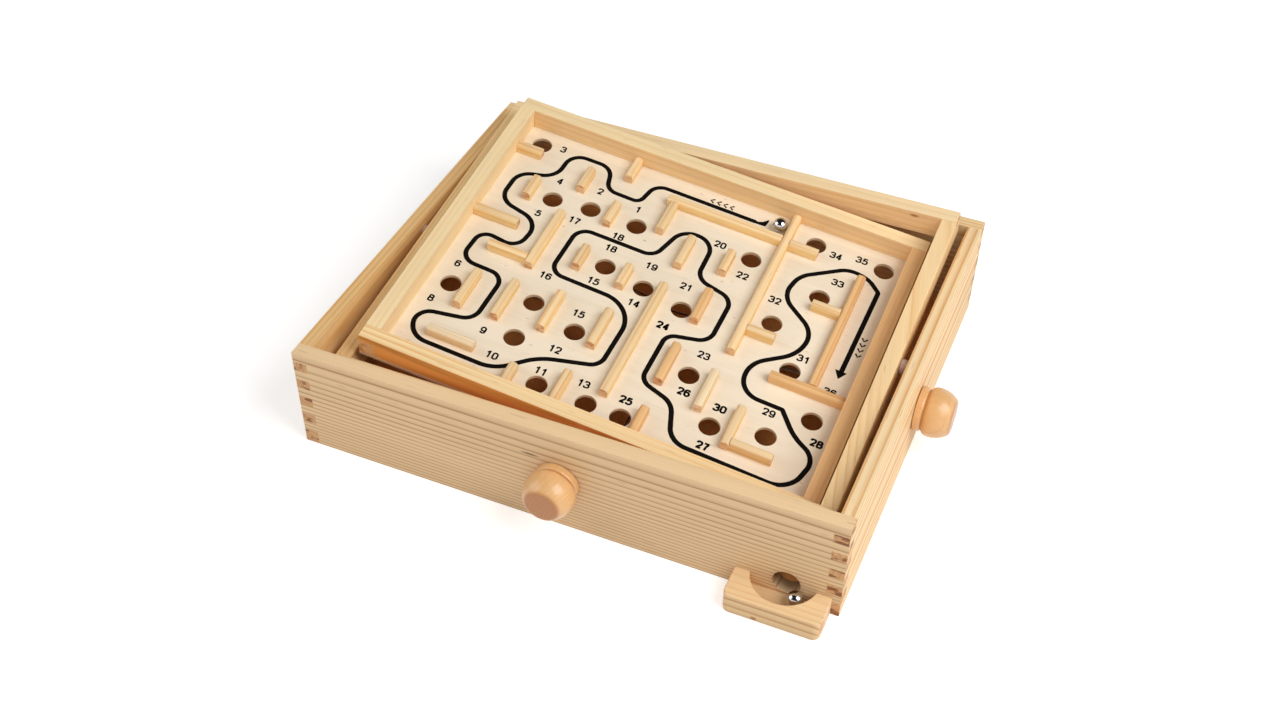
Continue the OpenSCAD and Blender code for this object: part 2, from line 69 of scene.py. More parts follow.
# Points over quarter circles: of a strip's section, a strip's end, a rod's edge and a knob's collar
SECTION_STEPS, END_STEPS, ROD_STEPS, COLLAR_STEPS = 7, 4, 5, 9
# Share of a straight run that the round at one end may take
ROUND_SHARE = 0.49
# Height of a unit vector from which it counts as upright
UPRIGHT = 0.9
# Range that most values of noise lie in, and detail and roughness of fine noise
NOISE_RANGE, FINE = (0.3, 0.7), (3.0, 0.6)

Colour = Tuple[float, float, float, float]
Point = Tuple[float, float]
Triple = Tuple[float, float, float]
# Lowest and highest value, and the levels that they are brought to
Fade = Tuple[float, float, float, float]
Array = np.ndarray
Corners = Tuple[Array, Array]
Material = bpy.types.Material
Piece = bpy.types.Object


def srgb(red: int, green: int, blue: int) -> Colour:
    """Linear colour of a screen colour given in steps of 255.

    Args:
        red, green, blue: the screen colour.

    Returns:
        The linear colour with full cover.
    """
    screen = np.array([red, green, blue]) / 255
    linear = np.where(screen <= 0.04045, screen / 12.92, ((screen + 0.055) / 1.055) ** 2.4)
    return (*linear.tolist(), 1.0)


def joint_vector(name: str, key: str) -> Array:
    """A place or direction of the record's joint of that name."""
    return np.array(next(j for j in frame["joints"] if j["name"] == name)[key], float)


@dataclass(frozen=True)
class Axes:
    """An origin and three unit vectors, as rows, in the row frame."""

    origin: Array
    rows: Array

    def to_local(self, points: Array) -> Array:
        """Points of the row frame in these axes."""
        return (points - self.origin) @ self.rows.T

    def to_row(self, points: Array) -> Array:
        """Points of these axes in the row frame."""
        return points @ self.rows + self.origin

    def grain_rows(self, grain: "Grain") -> Array:
        """These axes as rows, turned about the third so that the grain's axis comes first."""
        x, y, z = self.rows
        return self.rows if grain is Grain.X else np.array([y, -x, z])


class Grain(Enum):
    """Which of its body's axes a piece's fibres run along."""

    X = 0
    Y = 1


class Body(Enum):
    """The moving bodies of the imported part."""

    BOX = "box"
    RING = "ring"
    BOARD = "board"
    RIGHT_KNOB = "right_knob_unit"
    FRONT_KNOB = "front_knob_unit"
    START_BALL = "start_ball_unit"
    TRAY_BALL = "tray_ball_unit"


def node_points(node: str) -> Array:
    """All vertices of a CAD node.

    Args:
        node: name of the node.

    Returns:
        Array of points by 3, in the row frame.
    """
    mesh = frame["nodes"][node].data
    flat = np.empty(len(mesh.vertices) * 3, np.float32)
    mesh.vertices.foreach_get("co", flat)
    return flat.reshape(-1, 3).astype(float)


def measured_axes() -> Dict[Body, Axes]:
    """Axes of the box, the ring and the board, from the walls and the joints at rest.

    Returns:
        The axes for each of the three bodies.
    """
    across, deep = node_points("front_wall")[:, 0], node_points("left_wall")[:, 1]
    centre = np.array([(across.min() + across.max()) / 2, (deep.min() + deep.max()) / 2, 0])
    pivot, side = joint_vector("ring_tilt", "pos_m"), joint_vector("ring_tilt", "axis")
    back, run = joint_vector("board_tilt", "axis"), joint_vector("start_ball_roll", "axis")
    return {
        Body.BOX: Axes(centre, np.eye(3)),
        Body.RING: Axes(pivot, np.array([side, back, np.cross(side, back)])),
        Body.BOARD: Axes(pivot, np.array([run, back, np.cross(run, back)])),
    }


AXES = measured_axes()
ROW = Axes(np.zeros(3), np.eye(3))


def span(node: str, axes: Axes = ROW) -> Corners:
    """Lowest and highest corner of a CAD node in the given axes."""
    local = axes.to_local(node_points(node))
    return local.min(0), local.max(0)


def islands(node: str, axes: Axes) -> List[Corners]:
    """Corners of each separate solid of a CAD node in the given axes.

    Vertices at one place count as one. The smallest label then spreads along the triangles' edges until
    every solid has a single label.

    Args:
        node: name of the CAD node.
        axes: axes in which the corners are given.

    Returns:
        The lowest and highest corner of each solid, ordered by place.
    """
    mesh = frame["nodes"][node].data
    points = node_points(node)
    welded = np.unique(np.round(points, WELD_DECIMALS), axis=0, return_inverse=True)[1].reshape(-1)
    pairs = np.empty(len(mesh.edges) * 2, np.int32)
    mesh.edges.foreach_get("vertices", pairs)
    pairs = welded[pairs].reshape(-1, 2)
    labels, before = np.arange(welded.max() + 1), None
    while not np.array_equal(labels, before):
        before, low = labels.copy(), labels[pairs].min(1)
        np.minimum.at(labels, pairs[:, 0], low)
        np.minimum.at(labels, pairs[:, 1], low)
    local, owner = axes.to_local(points), labels[welded]
    found = [(local[owner == k].min(0), local[owner == k].max(0)) for k in np.unique(owner)]
    return sorted(found, key=lambda pair: tuple(np.round(pair[0], ORDER_DECIMALS)))


def linked(name: str, mesh: bpy.types.Mesh, smooth_below: float = SMOOTH_BELOW) -> Piece:
    """A mesh as an object of the scene, shaded smooth over edges flatter than the given angle.

    Args:
        name: name of the object.
        mesh: its mesh.
        smooth_below: largest angle, in degrees, that is shaded smooth.

    Returns:
        The new object, at the origin.
    """
    mesh.shade_smooth()
    mesh.set_sharp_from_angle(angle=math.radians(smooth_below))
    piece = bpy.data.objects.new(name, mesh)
    bpy.context.scene.collection.objects.link(piece)
    return piece


@dataclass
class Shell:
    """Points and faces that are gathered for one mesh."""

    points: List[Array] = field(default_factory=list)
    faces: List[List[int]] = field(default_factory=list)
    count: int = 0

    def add(self, points: Array, faces: Sequence[Sequence[int]]) -> None:
        """Adds points and the faces between them.

        Args:
            points: array of points by 3.
            faces: numbers of each face's points.
        """
        self.points.append(points)
        self.faces += [[i + self.count for i in face] for face in faces]
        self.count += len(points)

    def add_loft(self, rings: Array, looped: bool = False) -> None:
        """Adds the closed skin over a row of rings: quads between them, and a flat face over each end.

        Args:
            rings: array of rings by points by 3.
            looped: True where the last ring meets the first one, so that there are no ends.
        """
        rows, columns = rings.shape[:2]
        row, column = np.meshgrid(np.arange(rows if looped else rows - 1), np.arange(columns), indexing="ij")
        after, beside = (row + 1) % rows * columns, (column + 1) % columns
        row = row * columns
        quads = np.stack([row + column, row + beside, after + beside, after + column], -1).reshape(-1, 4)
        ends = [range(columns)[::-1], range((rows - 1) * columns, rows * columns)]
        self.add(rings.reshape(-1, 3), quads.tolist() + ([] if looped else ends))

    def piece(self, name: str, smooth_below: float = SMOOTH_BELOW) -> Piece:
        """The gathered mesh as an object.

        Args:
            name: name of the object and its mesh.
            smooth_below: largest angle, in degrees, that is shaded smooth.

        Returns:
            The new object, at the origin.
        """
        mesh = bpy.data.meshes.new(name)
        mesh.from_pydata(np.concatenate(self.points).tolist(), [], self.faces)
        mesh.validate()
        return linked(name, mesh, smooth_below)


def seat(piece: Piece, body: Body, slot: str, material: Material, *nodes: str) -> None:
    """Gives a piece its material and its body, and hides the CAD nodes that it stands for.

    Args:
        piece: the piece.
        body: body that it moves with.
        slot: material slot of the record; not used.
        material: its finish.
        nodes: CAD nodes that it replaces.
    """
    piece.data.materials.clear()
    piece.data.materials.append(material)
    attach(piece, body.value)
    if nodes:
        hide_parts(*nodes)
    LOG.info("%s rides on %s", piece.name, body.value)


def rounded_copy(node: str, name: str, ease: float) -> Piece:
    """A CAD node's copy with its loose triangles merged, its flat faces joined and its edges eased.

    Args:
        node: CAD node to copy.
        name: name of the piece.
        ease: radius of the eased edges, in metres.

    Returns:
        The piece with a live bevel.
    """
    work = bmesh.new()
    work.from_mesh(frame["nodes"][node].data)
    bmesh.ops.remove_doubles(work, verts=work.verts, dist=MERGE_WITHIN)
    bmesh.ops.dissolve_limit(work, angle_limit=math.radians(FLAT_BELOW), verts=work.verts, edges=work.edges)
    mesh = bpy.data.meshes.new(name)
    work.to_mesh(mesh)
    work.free()
    piece = linked(name, mesh)
    bevel = piece.modifiers.new("eased_edges", "BEVEL")
    bevel.width, bevel.segments = ease, EASE_STEPS
    bevel.limit_method, bevel.angle_limit = "ANGLE", math.radians(EASE_ABOVE)
    bevel.use_clamp_overlap = bevel.harden_normals = True
    return piece


@dataclass(frozen=True)
class Mark:
    """A dark spot on wood, real or painted shade, placed in the row frame, its length a share of its radius.

    Its cover is full out to the core's share of the radius, and fades to nothing at the radius.
    """

    place: Triple
    radius: float
    length: float
    shade: Colour
    core: float = 0.35
    cover: float = 0.85


class Graph:
    """A node tree under construction, with short calls for its nodes."""

    # Power by which young rings follow their distance, and scale and roughness of the noise that moves rings
    RING_POWER, STRAY_SCALE, STRAY_ROUGH = 1.7, 28.0, 0.45

    def __init__(self, owner: Union[Material, bpy.types.World]) -> None:
        """Takes over the node tree of a material or world and empties it.

        Args:
            owner: the material or world.
        """
        owner.use_nodes = True
        self.owner, self.tree = owner, owner.node_tree
        self.tree.nodes.clear()

    def add(
        self, kind: str, inputs: Dict[Union[int, str], Any], output: Union[int, str] = 0, **settings: Any
    ) -> Any:
        """Adds a node, sets or links its inputs and returns one output.

        Args:
            kind: node type without its common prefix.
            inputs: value or socket for each input, by index or name.
            output: index or name of the output.
            settings: the node's own properties.

        Returns:
            The output socket, or None where the node has none.
        """
        node = self.tree.nodes.new("ShaderNode" + kind)
        for key, value in settings.items():
            setattr(node, key, value)
        for key, value in inputs.items():
            if isinstance(value, bpy.types.NodeSocket):
                self.tree.links.new(value, node.inputs[key])
            else:
                node.inputs[key].default_value = value
        return node.outputs[output] if node.outputs else None

    def principled(self, **sockets: Any) -> Material:
        """Ends a material with a principled shader.

        Args:
            sockets: value or socket for the shader's inputs, named with underscores for spaces.

        Returns:
            The finished material.
        """
        shader = self.add("BsdfPrincipled", {key.replace("_", " "): value for key, value in sockets.items()})
        self.add("OutputMaterial", {0: shader})
        return self.owner

    def place(self) -> Any:
        """Object coordinates."""
        return self.add("TexCoord", {}, "Object")

    def placed(self, rows: Array, origin: Array) -> Any:
        """Object coordinates turned into axes that are given as rows, about an origin."""
        turn, shift = Matrix(rows.tolist()).to_euler("XYZ"), -(rows @ origin)
        return self.add("Mapping", {"Vector": self.place(), "Rotation": turn, "Location": shift.tolist()})

    def stretched(self, vector: Any, factors: Triple) -> Any:
        """A vector times a factor on each axis."""
        return self.add("VectorMath", {0: vector, 1: factors}, operation="MULTIPLY")

    def length(self, vector: Any) -> Any:
        """Length of a vector."""
        return self.add("VectorMath", {0: vector}, "Value", operation="LENGTH")

    def noise(self, vector: Any, scale: Union[float, Triple], detail: float = 2.0, rough: float = 0.5) -> Any:
        """Value of a noise texture, with one scale or one for each axis."""
        vector, scale = (self.stretched(vector, scale), 1.0) if isinstance(scale, tuple) else (vector, scale)
        return self.add("TexNoise", {"Vector": vector, "Scale": scale, "Detail": detail, "Roughness": rough})

    def math(self, operation: str, first: Any, second: Any = 0.0) -> Any:
        """Result of one sum."""
        return self.add("Math", {0: first, 1: second}, operation=operation)

    def product(self, *values: Any) -> Any:
        """Product of several values."""
        return reduce(lambda first, second: self.math("MULTIPLY", first, second), values)

    def fade(self, value: Any, low: float, high: float, start: float = 0.0, end: float = 1.0) -> Any:
        """A value's range from low to high brought to start to end, and held there."""
        return self.add("MapRange", {0: value, 1: low, 2: high, 3: start, 4: end})

    def ramp(self, value: Any, stops: Sequence[Point]) -> Any:
        """A value run through a ramp of greys.

        Args:
            value: the value, from 0 to 1.
            stops: place and level of each stop.

        Returns:
            The grey's socket.
        """
        node = self.tree.nodes.new("ShaderNodeValToRGB")
        self.tree.links.new(value, node.inputs[0])
        ramp = node.color_ramp
        while len(ramp.elements) < len(stops):
            ramp.elements.new(0.5)
        for element, (place, level) in zip(ramp.elements, stops):
            element.position = place
            element.color = (level, level, level, 1.0)
        return node.outputs[0]

    def mix(self, share: Any, first: Any, second: Any, blend: str = "MIX") -> Any:
        """Two colours mixed by a share of the second."""
        return self.add("Mix", {0: share, 6: first, 7: second}, 2, data_type="RGBA", blend_type=blend)

    def toned(self, colour: Any, level: Any) -> Any:
        """A colour times a grey level."""
        return self.mix(1.0, colour, self.add("CombineColor", {0: level, 1: level, 2: level}), "MULTIPLY")

    def rings(self, vector: Any, spacing: float, wander: float, young: float = 0.0) -> Any:
        """Saw of the distance from the first axis, from 0 to 1 over each growth ring.

        The ring number is the distance over the spacing, or where young is set, a power of the distance over
        young, so that the rings get closer outward. Noise moves it by up to half of wander.

        Args:
            vector: coordinates with the grain first.
            spacing: distance between rings in metres.
            wander: how many rings the lines stray.
            young: distance from the pith of the first ring in metres, or 0 for even rings.

        Returns:
            The saw's value.
        """
        count = self.math("DIVIDE", self.length(self.stretched(vector, (0.0, 1.0, 1.0))), young or spacing)
        if young:
            count = self.math("POWER", count, self.RING_POWER)
        stray = self.product(self.noise(vector, self.STRAY_SCALE, rough=self.STRAY_ROUGH), wander)
        return self.math("FRACT", self.math("ADD", count, stray))

    def spot(self, mark: Mark, rows: Array) -> Any:
        """Cover of a dark spot in wood whose axes, with the grain first, are given as rows."""
        reach = self.stretched(self.placed(rows, np.array(mark.place)), (1 / mark.length, 1.0, 1.0))
        return self.fade(self.length(reach), mark.core * mark.radius, mark.radius, mark.cover, 0.0)

    def bump(self, height: Any, strength: float, depth: float) -> Any:
        """Normal of a surface raised by a height of 0 to 1 over a depth in metres."""
        return self.add("Bump", {"Height": height, "Strength": strength, "Distance": depth}, "Normal")

    def endness(self, direction: Array, low: float = 0.8, high: float = 0.96) -> Any:
        """1 on faces that a direction leaves square and 0 on faces along it, with a fade between.

        Args:
            direction: unit vector in the row frame.
            low, high: cosines between which it fades.

        Returns:
            The value's socket.
        """
        inputs = {0: self.add("TexCoord", {}, "Normal"), 1: direction.tolist()}
        facing = self.math("ABSOLUTE", self.add("VectorMath", inputs, "Value", operation="DOT_PRODUCT"))
        return self.fade(facing, low, high)


@dataclass(frozen=True)
class PineFinish:
    """Sanded pine: growth rings about a pith line, tone bands, fine fibres and reddish end grain.

    Line is the strength of the ring lines, patch the least share that the bands leave of them, sharp their
    narrowness and calm their loss on upper faces. Painted bounce cover is the cover of painted bounce
    on side faces: an amber glow that stands in for warm light bounced between pieces. Slow is the stretch
    of rings and bands along the grain, and band to stain are scales of noise. The tones and covers say how
    far each of them changes the colour.
    """

    early: Colour = srgb(244, 213, 162)
    late: Colour = srgb(221, 160, 86)
    end_light: Colour = srgb(226, 176, 124)
    end_dark: Colour = srgb(138, 84, 52)
    # Painted bounce light: amber glow that side faces take in place of warm light bounced between pieces
    amber: Colour = srgb(250, 168, 76)
    ring: float = 3.2 * MM
    line: float = 0.8
    wander: float = 2.5
    young: float = 0.0
    patch: float = 0.3
    sharp: float = 1.0
    calm: float = 0.0
    flank: float = 0.0
    rough: Point = (0.48, 0.64)
    gloss: float = 0.3
    relief: float = 0.25
    depth: float = 0.15 * MM
    slow: Triple = (0.1, 1.0, 1.0)
    profile: Sequence[Point] = ((0.0, 0.0), (0.35, 0.08), (0.7, 0.5), (0.88, 1.0), (1.0, 0.1))
    band: float = 95.0
    cloud: float = 34.0
    fibre: Triple = (22.0, 1400.0, 1400.0)
    fleck: Triple = (70.0, 900.0, 900.0)
    pore: float = 1900.0
    stain: Triple = (60.0, 150.0, 330.0)
    band_range: Point = (0.32, 0.68)
    cloud_tone: Point = (0.92, 1.05)
    fibre_tone: Fade = (0.25, 0.75, 0.93, 1.05)
    fleck_cover: Fade = (0.70, 0.78, 0.0, 0.3)
    amber_tone: Fade = (0.0, 1.0, 1.06, 0.72)
    pore_cover: Fade = (0.35, 0.65, 0.0, 0.3)
    stain_cover: Fade = (0.47, 0.60, 0.0, 0.95)
    ring_cover: float = 0.45

    def tinted(self, tint: Triple) -> "PineFinish":
        """The same wood with its two tones multiplied by a tint."""
        tones = np.minimum(1.0, np.array([self.early, self.late]) * [*tint, 1.0]).tolist()
        return replace(self, early=tuple(tones[0]), late=tuple(tones[1]))

    def dress(
        self, name: str, rows: Array, pith: Array, tone: float = 1.0, marks: Sequence[Mark] = ()
    ) -> Material:
        """Makes the finish for one piece.

        Rings are a saw wave of the distance from the pith line, which wanders slowly along the grain.

        Args:
            name: name of the material.
            rows: axes with the grain first, as rows in the row frame.
            pith: a point of the pith line in the row frame.
            tone: brightness of this piece beside the others.
            marks: dark spots.

        Returns:
            The material.
        """
        g = Graph(bpy.data.materials.new(name))
        local = g.placed(rows, pith)
        slow = g.stretched(local, self.slow)
        rings = g.ramp(g.rings(slow, self.ring, self.wander, self.young), self.profile)
        bands = g.fade(g.noise(slow, self.band, 1.0), *self.band_range, self.patch, 1.0)
        lines = g.product(g.math("POWER", rings, self.sharp), bands, self.line)
        if self.calm:
            lines = g.product(lines, g.fade(g.endness(rows[2]), 0.0, 1.0, 1.0, 1.0 - self.calm))
        colour = g.mix(lines, self.early, self.late)
        levels = (tone * level for level in self.cloud_tone)
        colour = g.toned(colour, g.fade(g.noise(slow, self.cloud), *NOISE_RANGE, *levels))
        fibre = g.noise(local, self.fibre, *FINE)
        colour = g.toned(colour, g.fade(fibre, *self.fibre_tone))
        colour = g.mix(g.fade(g.noise(local, self.fleck, 1.0), *self.fleck_cover), colour, self.end_dark)
        # Painted bounce light: side faces mix towards an amber glow, brighter than the wood, for light
        # bounced between pieces
        if self.flank:
            side = g.toned(self.amber, g.fade(g.product(rings, bands), *self.amber_tone))
            colour = g.mix(g.product(g.endness(rows[1]), self.flank), colour, side)
        pores = g.fade(g.noise(local, self.pore), *self.pore_cover)
        stains = g.fade(g.noise(local, self.stain), *self.stain_cover)
        dark = g.math("MAXIMUM", g.product(rings, self.ring_cover), g.math("MAXIMUM", stains, pores))
        colour = g.mix(g.endness(rows[0]), colour, g.mix(dark, self.end_light, self.end_dark))
        for mark in marks:
            colour = g.mix(g.spot(mark, rows), colour, mark.shade)
        height = g.math("ADD", g.product(rings, 0.5), g.product(fibre, 0.5))
        return g.principled(
            Base_Color=colour,
            Roughness=g.fade(fibre, *NOISE_RANGE, *self.rough),
            Normal=g.bump(height, self.relief, self.depth),
            Specular_IOR_Level=self.gloss,
        )


@dataclass(frozen=True)
class PlyFinish:
    """Pale plywood: a cream face veneer with faint streaks and specks, and a darker core on cut edges."""

    face: Colour = srgb(243, 227, 202)
    streak: Colour = srgb(233, 213, 184)
    core: Colour = srgb(205, 168, 122)
    speck: Colour = srgb(172, 132, 92)
    streaks: Triple = (6.0, 160.0, 160.0)
    cloud: float = 16.0
    fibre: Triple = (60.0, 1500.0, 1500.0)
    specks: Triple = (200.0, 700.0, 700.0)
    layer: Point = (0.16, 0.24)
    rough: Point = (0.44, 0.56)
    gloss: float = 0.35
    relief: float = 0.15
    depth: float = 0.08 * MM
    streak_range: Point = (0.42, 0.72)
    streak_cover: float = 0.55
    cloud_tone: Point = (0.965, 1.02)
    fibre_tone: Point = (0.975, 1.015)
    speck_cover: Fade = (0.745, 0.79, 0.0, 0.5)
    layer_cover: float = 0.75
    edge_share: float = 0.35

    def dress(self, name: str, axes: Axes, middle: float, thickness: float) -> Material:
        """Makes the finish.

        Args:
            name: name of the material.
            axes: axes of the board, with the face grain first.
            middle: height of the board's middle in those axes.
            thickness: thickness of the board.

        Returns:
            The material.
        """
        g = Graph(bpy.data.materials.new(name))
        local = g.placed(axes.rows, axes.origin)
        streaks = g.fade(g.noise(local, self.streaks, *FINE), *self.streak_range)
        colour = g.mix(g.product(streaks, self.streak_cover), self.face, self.streak)
        colour = g.toned(colour, g.fade(g.noise(local, self.cloud), *NOISE_RANGE, *self.cloud_tone))
        fibre = g.noise(local, self.fibre)
        colour = g.toned(colour, g.fade(fibre, *NOISE_RANGE, *self.fibre_tone))
        colour = g.mix(g.fade(g.noise(local, self.specks, 1.0), *self.speck_cover), colour, self.speck)
        height = g.add("SeparateXYZ", {0: local}, 2)
        inside = g.math("ABSOLUTE", g.math("SUBTRACT", height, middle))
        ply = g.fade(inside, *(share * thickness for share in self.layer), self.layer_cover, 0.0)
        cut = g.mix(ply, g.mix(self.edge_share, self.face, self.core), self.core)
        return g.principled(
            Base_Color=g.mix(g.endness(axes.rows[2]), cut, colour),
            Roughness=g.fade(fibre, *NOISE_RANGE, *self.rough),
            Normal=g.bump(fibre, self.relief, self.depth),
            Specular_IOR_Level=self.gloss,
        )


@dataclass(frozen=True)
class LacquerFinish:
    """Turned wood under clear lacquer, darker on its end grain."""

    wood: Colour = srgb(226, 177, 120)
    line: Colour = srgb(212, 152, 94)
    end: Colour = srgb(180, 114, 55)
    ring: float = 2.1 * MM
    slow: Triple = (0.15, 1.0, 1.0)
    profile: Sequence[Point] = ((0.0, 0.0), (0.5, 0.1), (0.88, 1.0), (1.0, 0.2))
    fibre: Triple = (40.0, 1200.0, 1200.0)
    rough: Point = (0.34, 0.46)
    relief: float = 0.08
    depth: float = 0.05 * MM
    wander: float = 1.0
    line_cover: float = 0.3
    end_cover: float = 0.15
    end_range: Point = (0.62, 1.0)
    fibre_tone: Fade = (0.25, 0.75, 0.94, 1.04)

    def dress(self, name: str, rows: Array, pith: Array) -> Material:
        """Makes the finish.

        Args:
            name: name of the material.
            rows: axes with the grain first, as rows in the row frame.
            pith: a point of the pith line in the row frame.

        Returns:
            The material.
        """
        g = Graph(bpy.data.materials.new(name))
        local = g.placed(rows, pith)
        rings = g.ramp(g.rings(g.stretched(local, self.slow), self.ring, self.wander), self.profile)
        colour = g.mix(g.product(rings, self.line_cover), self.wood, self.line)
        fibre = g.noise(local, self.fibre, 3.0)
        colour = g.toned(colour, g.fade(fibre, *self.fibre_tone))
        cut = g.mix(g.product(rings, self.end_cover), self.end, self.line)
        return g.principled(
            Base_Color=g.mix(g.endness(rows[0], *self.end_range), colour, cut),
            Roughness=g.fade(fibre, *NOISE_RANGE, *self.rough),
            Normal=g.bump(fibre, self.relief, self.depth),
            Coat_Weight=0.4,
            Coat_Roughness=0.16,
        )


@dataclass(frozen=True)
class SteelFinish:
    """Steel with fine marks along one axis; a polished ball has hardly any."""

    colour: Colour = srgb(206, 206, 209)
    rough: Point = (0.22, 0.4)
    marks: Triple = (60.0, 900.0, 900.0)
    relief: float = 0.04
    depth: float = 0.02 * MM
    tone: Point = (0.93, 1.0)
    wear_range: Point = (0.3, 0.75)

    def dress(self, name: str) -> Material:
        """Makes the finish.

        Args:
            name: name of the material.

        Returns:
            The material.
        """
        g = Graph(bpy.data.materials.new(name))
        scratch = g.noise(g.place(), self.marks, *FINE)
        return g.principled(
            Base_Color=g.toned(self.colour, g.fade(scratch, *NOISE_RANGE, *self.tone)),
            Metallic=1.0,
            Roughness=g.fade(scratch, *self.wear_range, *self.rough),
            Normal=g.bump(scratch, self.relief, self.depth),
        )


@dataclass(frozen=True)
class MattFinish:
    """A plain matt stuff with two tones in a fine speckle, such as fibreboard, ink or moulded bushes."""

    light: Colour
    dark: Colour
    grain: float = 900.0
    rough: Point = (0.6, 0.8)
    depth: float = 0.06 * MM
    gloss: float = 0.3
    coarser: float = 18.0
    relief: float = 0.2
    shares: Point = (0.7, 0.3)
    share_range: Point = (0.35, 0.65)

    def dress(self, name: str) -> Material:
        """Makes the finish.

        Args:
            name: name of the material.

        Returns:
            The material.
        """
        g = Graph(bpy.data.materials.new(name))
        place = g.place()
        fine = g.noise(place, self.grain, *FINE)
        wide = g.noise(place, self.grain / self.coarser)
        speckle = g.math("ADD", *(g.product(*pair) for pair in zip((fine, wide), self.shares)))
        share = g.fade(speckle, *self.share_range)
        return g.principled(
            Base_Color=g.mix(share, self.light, self.dark),
            Roughness=g.fade(fine, *NOISE_RANGE, *self.rough),
            Normal=g.bump(fine, self.relief, self.depth),
            Specular_IOR_Level=self.gloss,
        )


@dataclass(frozen=True)
class CordFinish:
    """Twisted thread, from the cord's own map: its length in metres along V and its turn along U."""

    light: Colour = srgb(74, 70, 68)
    dark: Colour = srgb(26, 24, 24)
    lay: float = 1.4 * MM
    strands: float = 3.0
    rough: Point = (0.9, 0.7)
    relief: float = 0.5
    depth: float = 0.1 * MM

    def dress(self, name: str) -> Material:
        """Makes the finish, with strands that wind once around the cord in every lay.

        Args:
            name: name of the material.

        Returns:
            The material.
        """
        g = Graph(bpy.data.materials.new(name))
        plan = g.add("UVMap", {}, "UV", uv_map="strand")
        around, along = (g.add("SeparateXYZ", {0: plan}, k) for k in range(2))
        turn = g.math("ADD", g.math("DIVIDE", along, self.lay), g.product(around, self.strands))
        strand = g.fade(g.math("SINE", g.product(turn, FULL_TURN)), -1.0, 1.0)
        return g.principled(
            Base_Color=g.mix(strand, self.dark, self.light),
            Roughness=g.fade(strand, 0.0, 1.0, *self.rough),
            Normal=g.bump(strand, self.relief, self.depth),
            Sheen_Weight=0.2,
        )


@dataclass
class Plank:
    """A piece of pine that is an eased copy of its CAD node.

    Its pith and ease are in millimetres, and its grain leans by an angle in degrees.
    """

    node: str
    body: Body
    grain: Grain
    pith: Point
    ease: float = 0.5
    tint: Triple = (1.0, 1.0, 1.0)
    lean: float = 0.0
    finish: PineFinish = PineFinish()
    marks: Sequence[Mark] = ()

    def build(self) -> None:
        """Makes the piece, with its pith off its middle by a distance across and one up."""
        axes = AXES[self.body]
        low, high = span(self.node, axes)
        along, across, up = axes.grain_rows(self.grain)
        pith = axes.to_row((low + high) / 2) + (self.pith[0] * across + self.pith[1] * up) * MM
        cos, sin = math.cos(math.radians(self.lean)), math.sin(math.radians(self.lean))
        rows = np.array([cos * along + sin * across, cos * across - sin * along, up])
        piece = rounded_copy(self.node, self.node + "_wood", self.ease * MM)
        material = self.finish.tinted(self.tint).dress(self.node + "_pine", rows, pith, marks=self.marks)
        seat(piece, self.body, "pine", material, self.node)


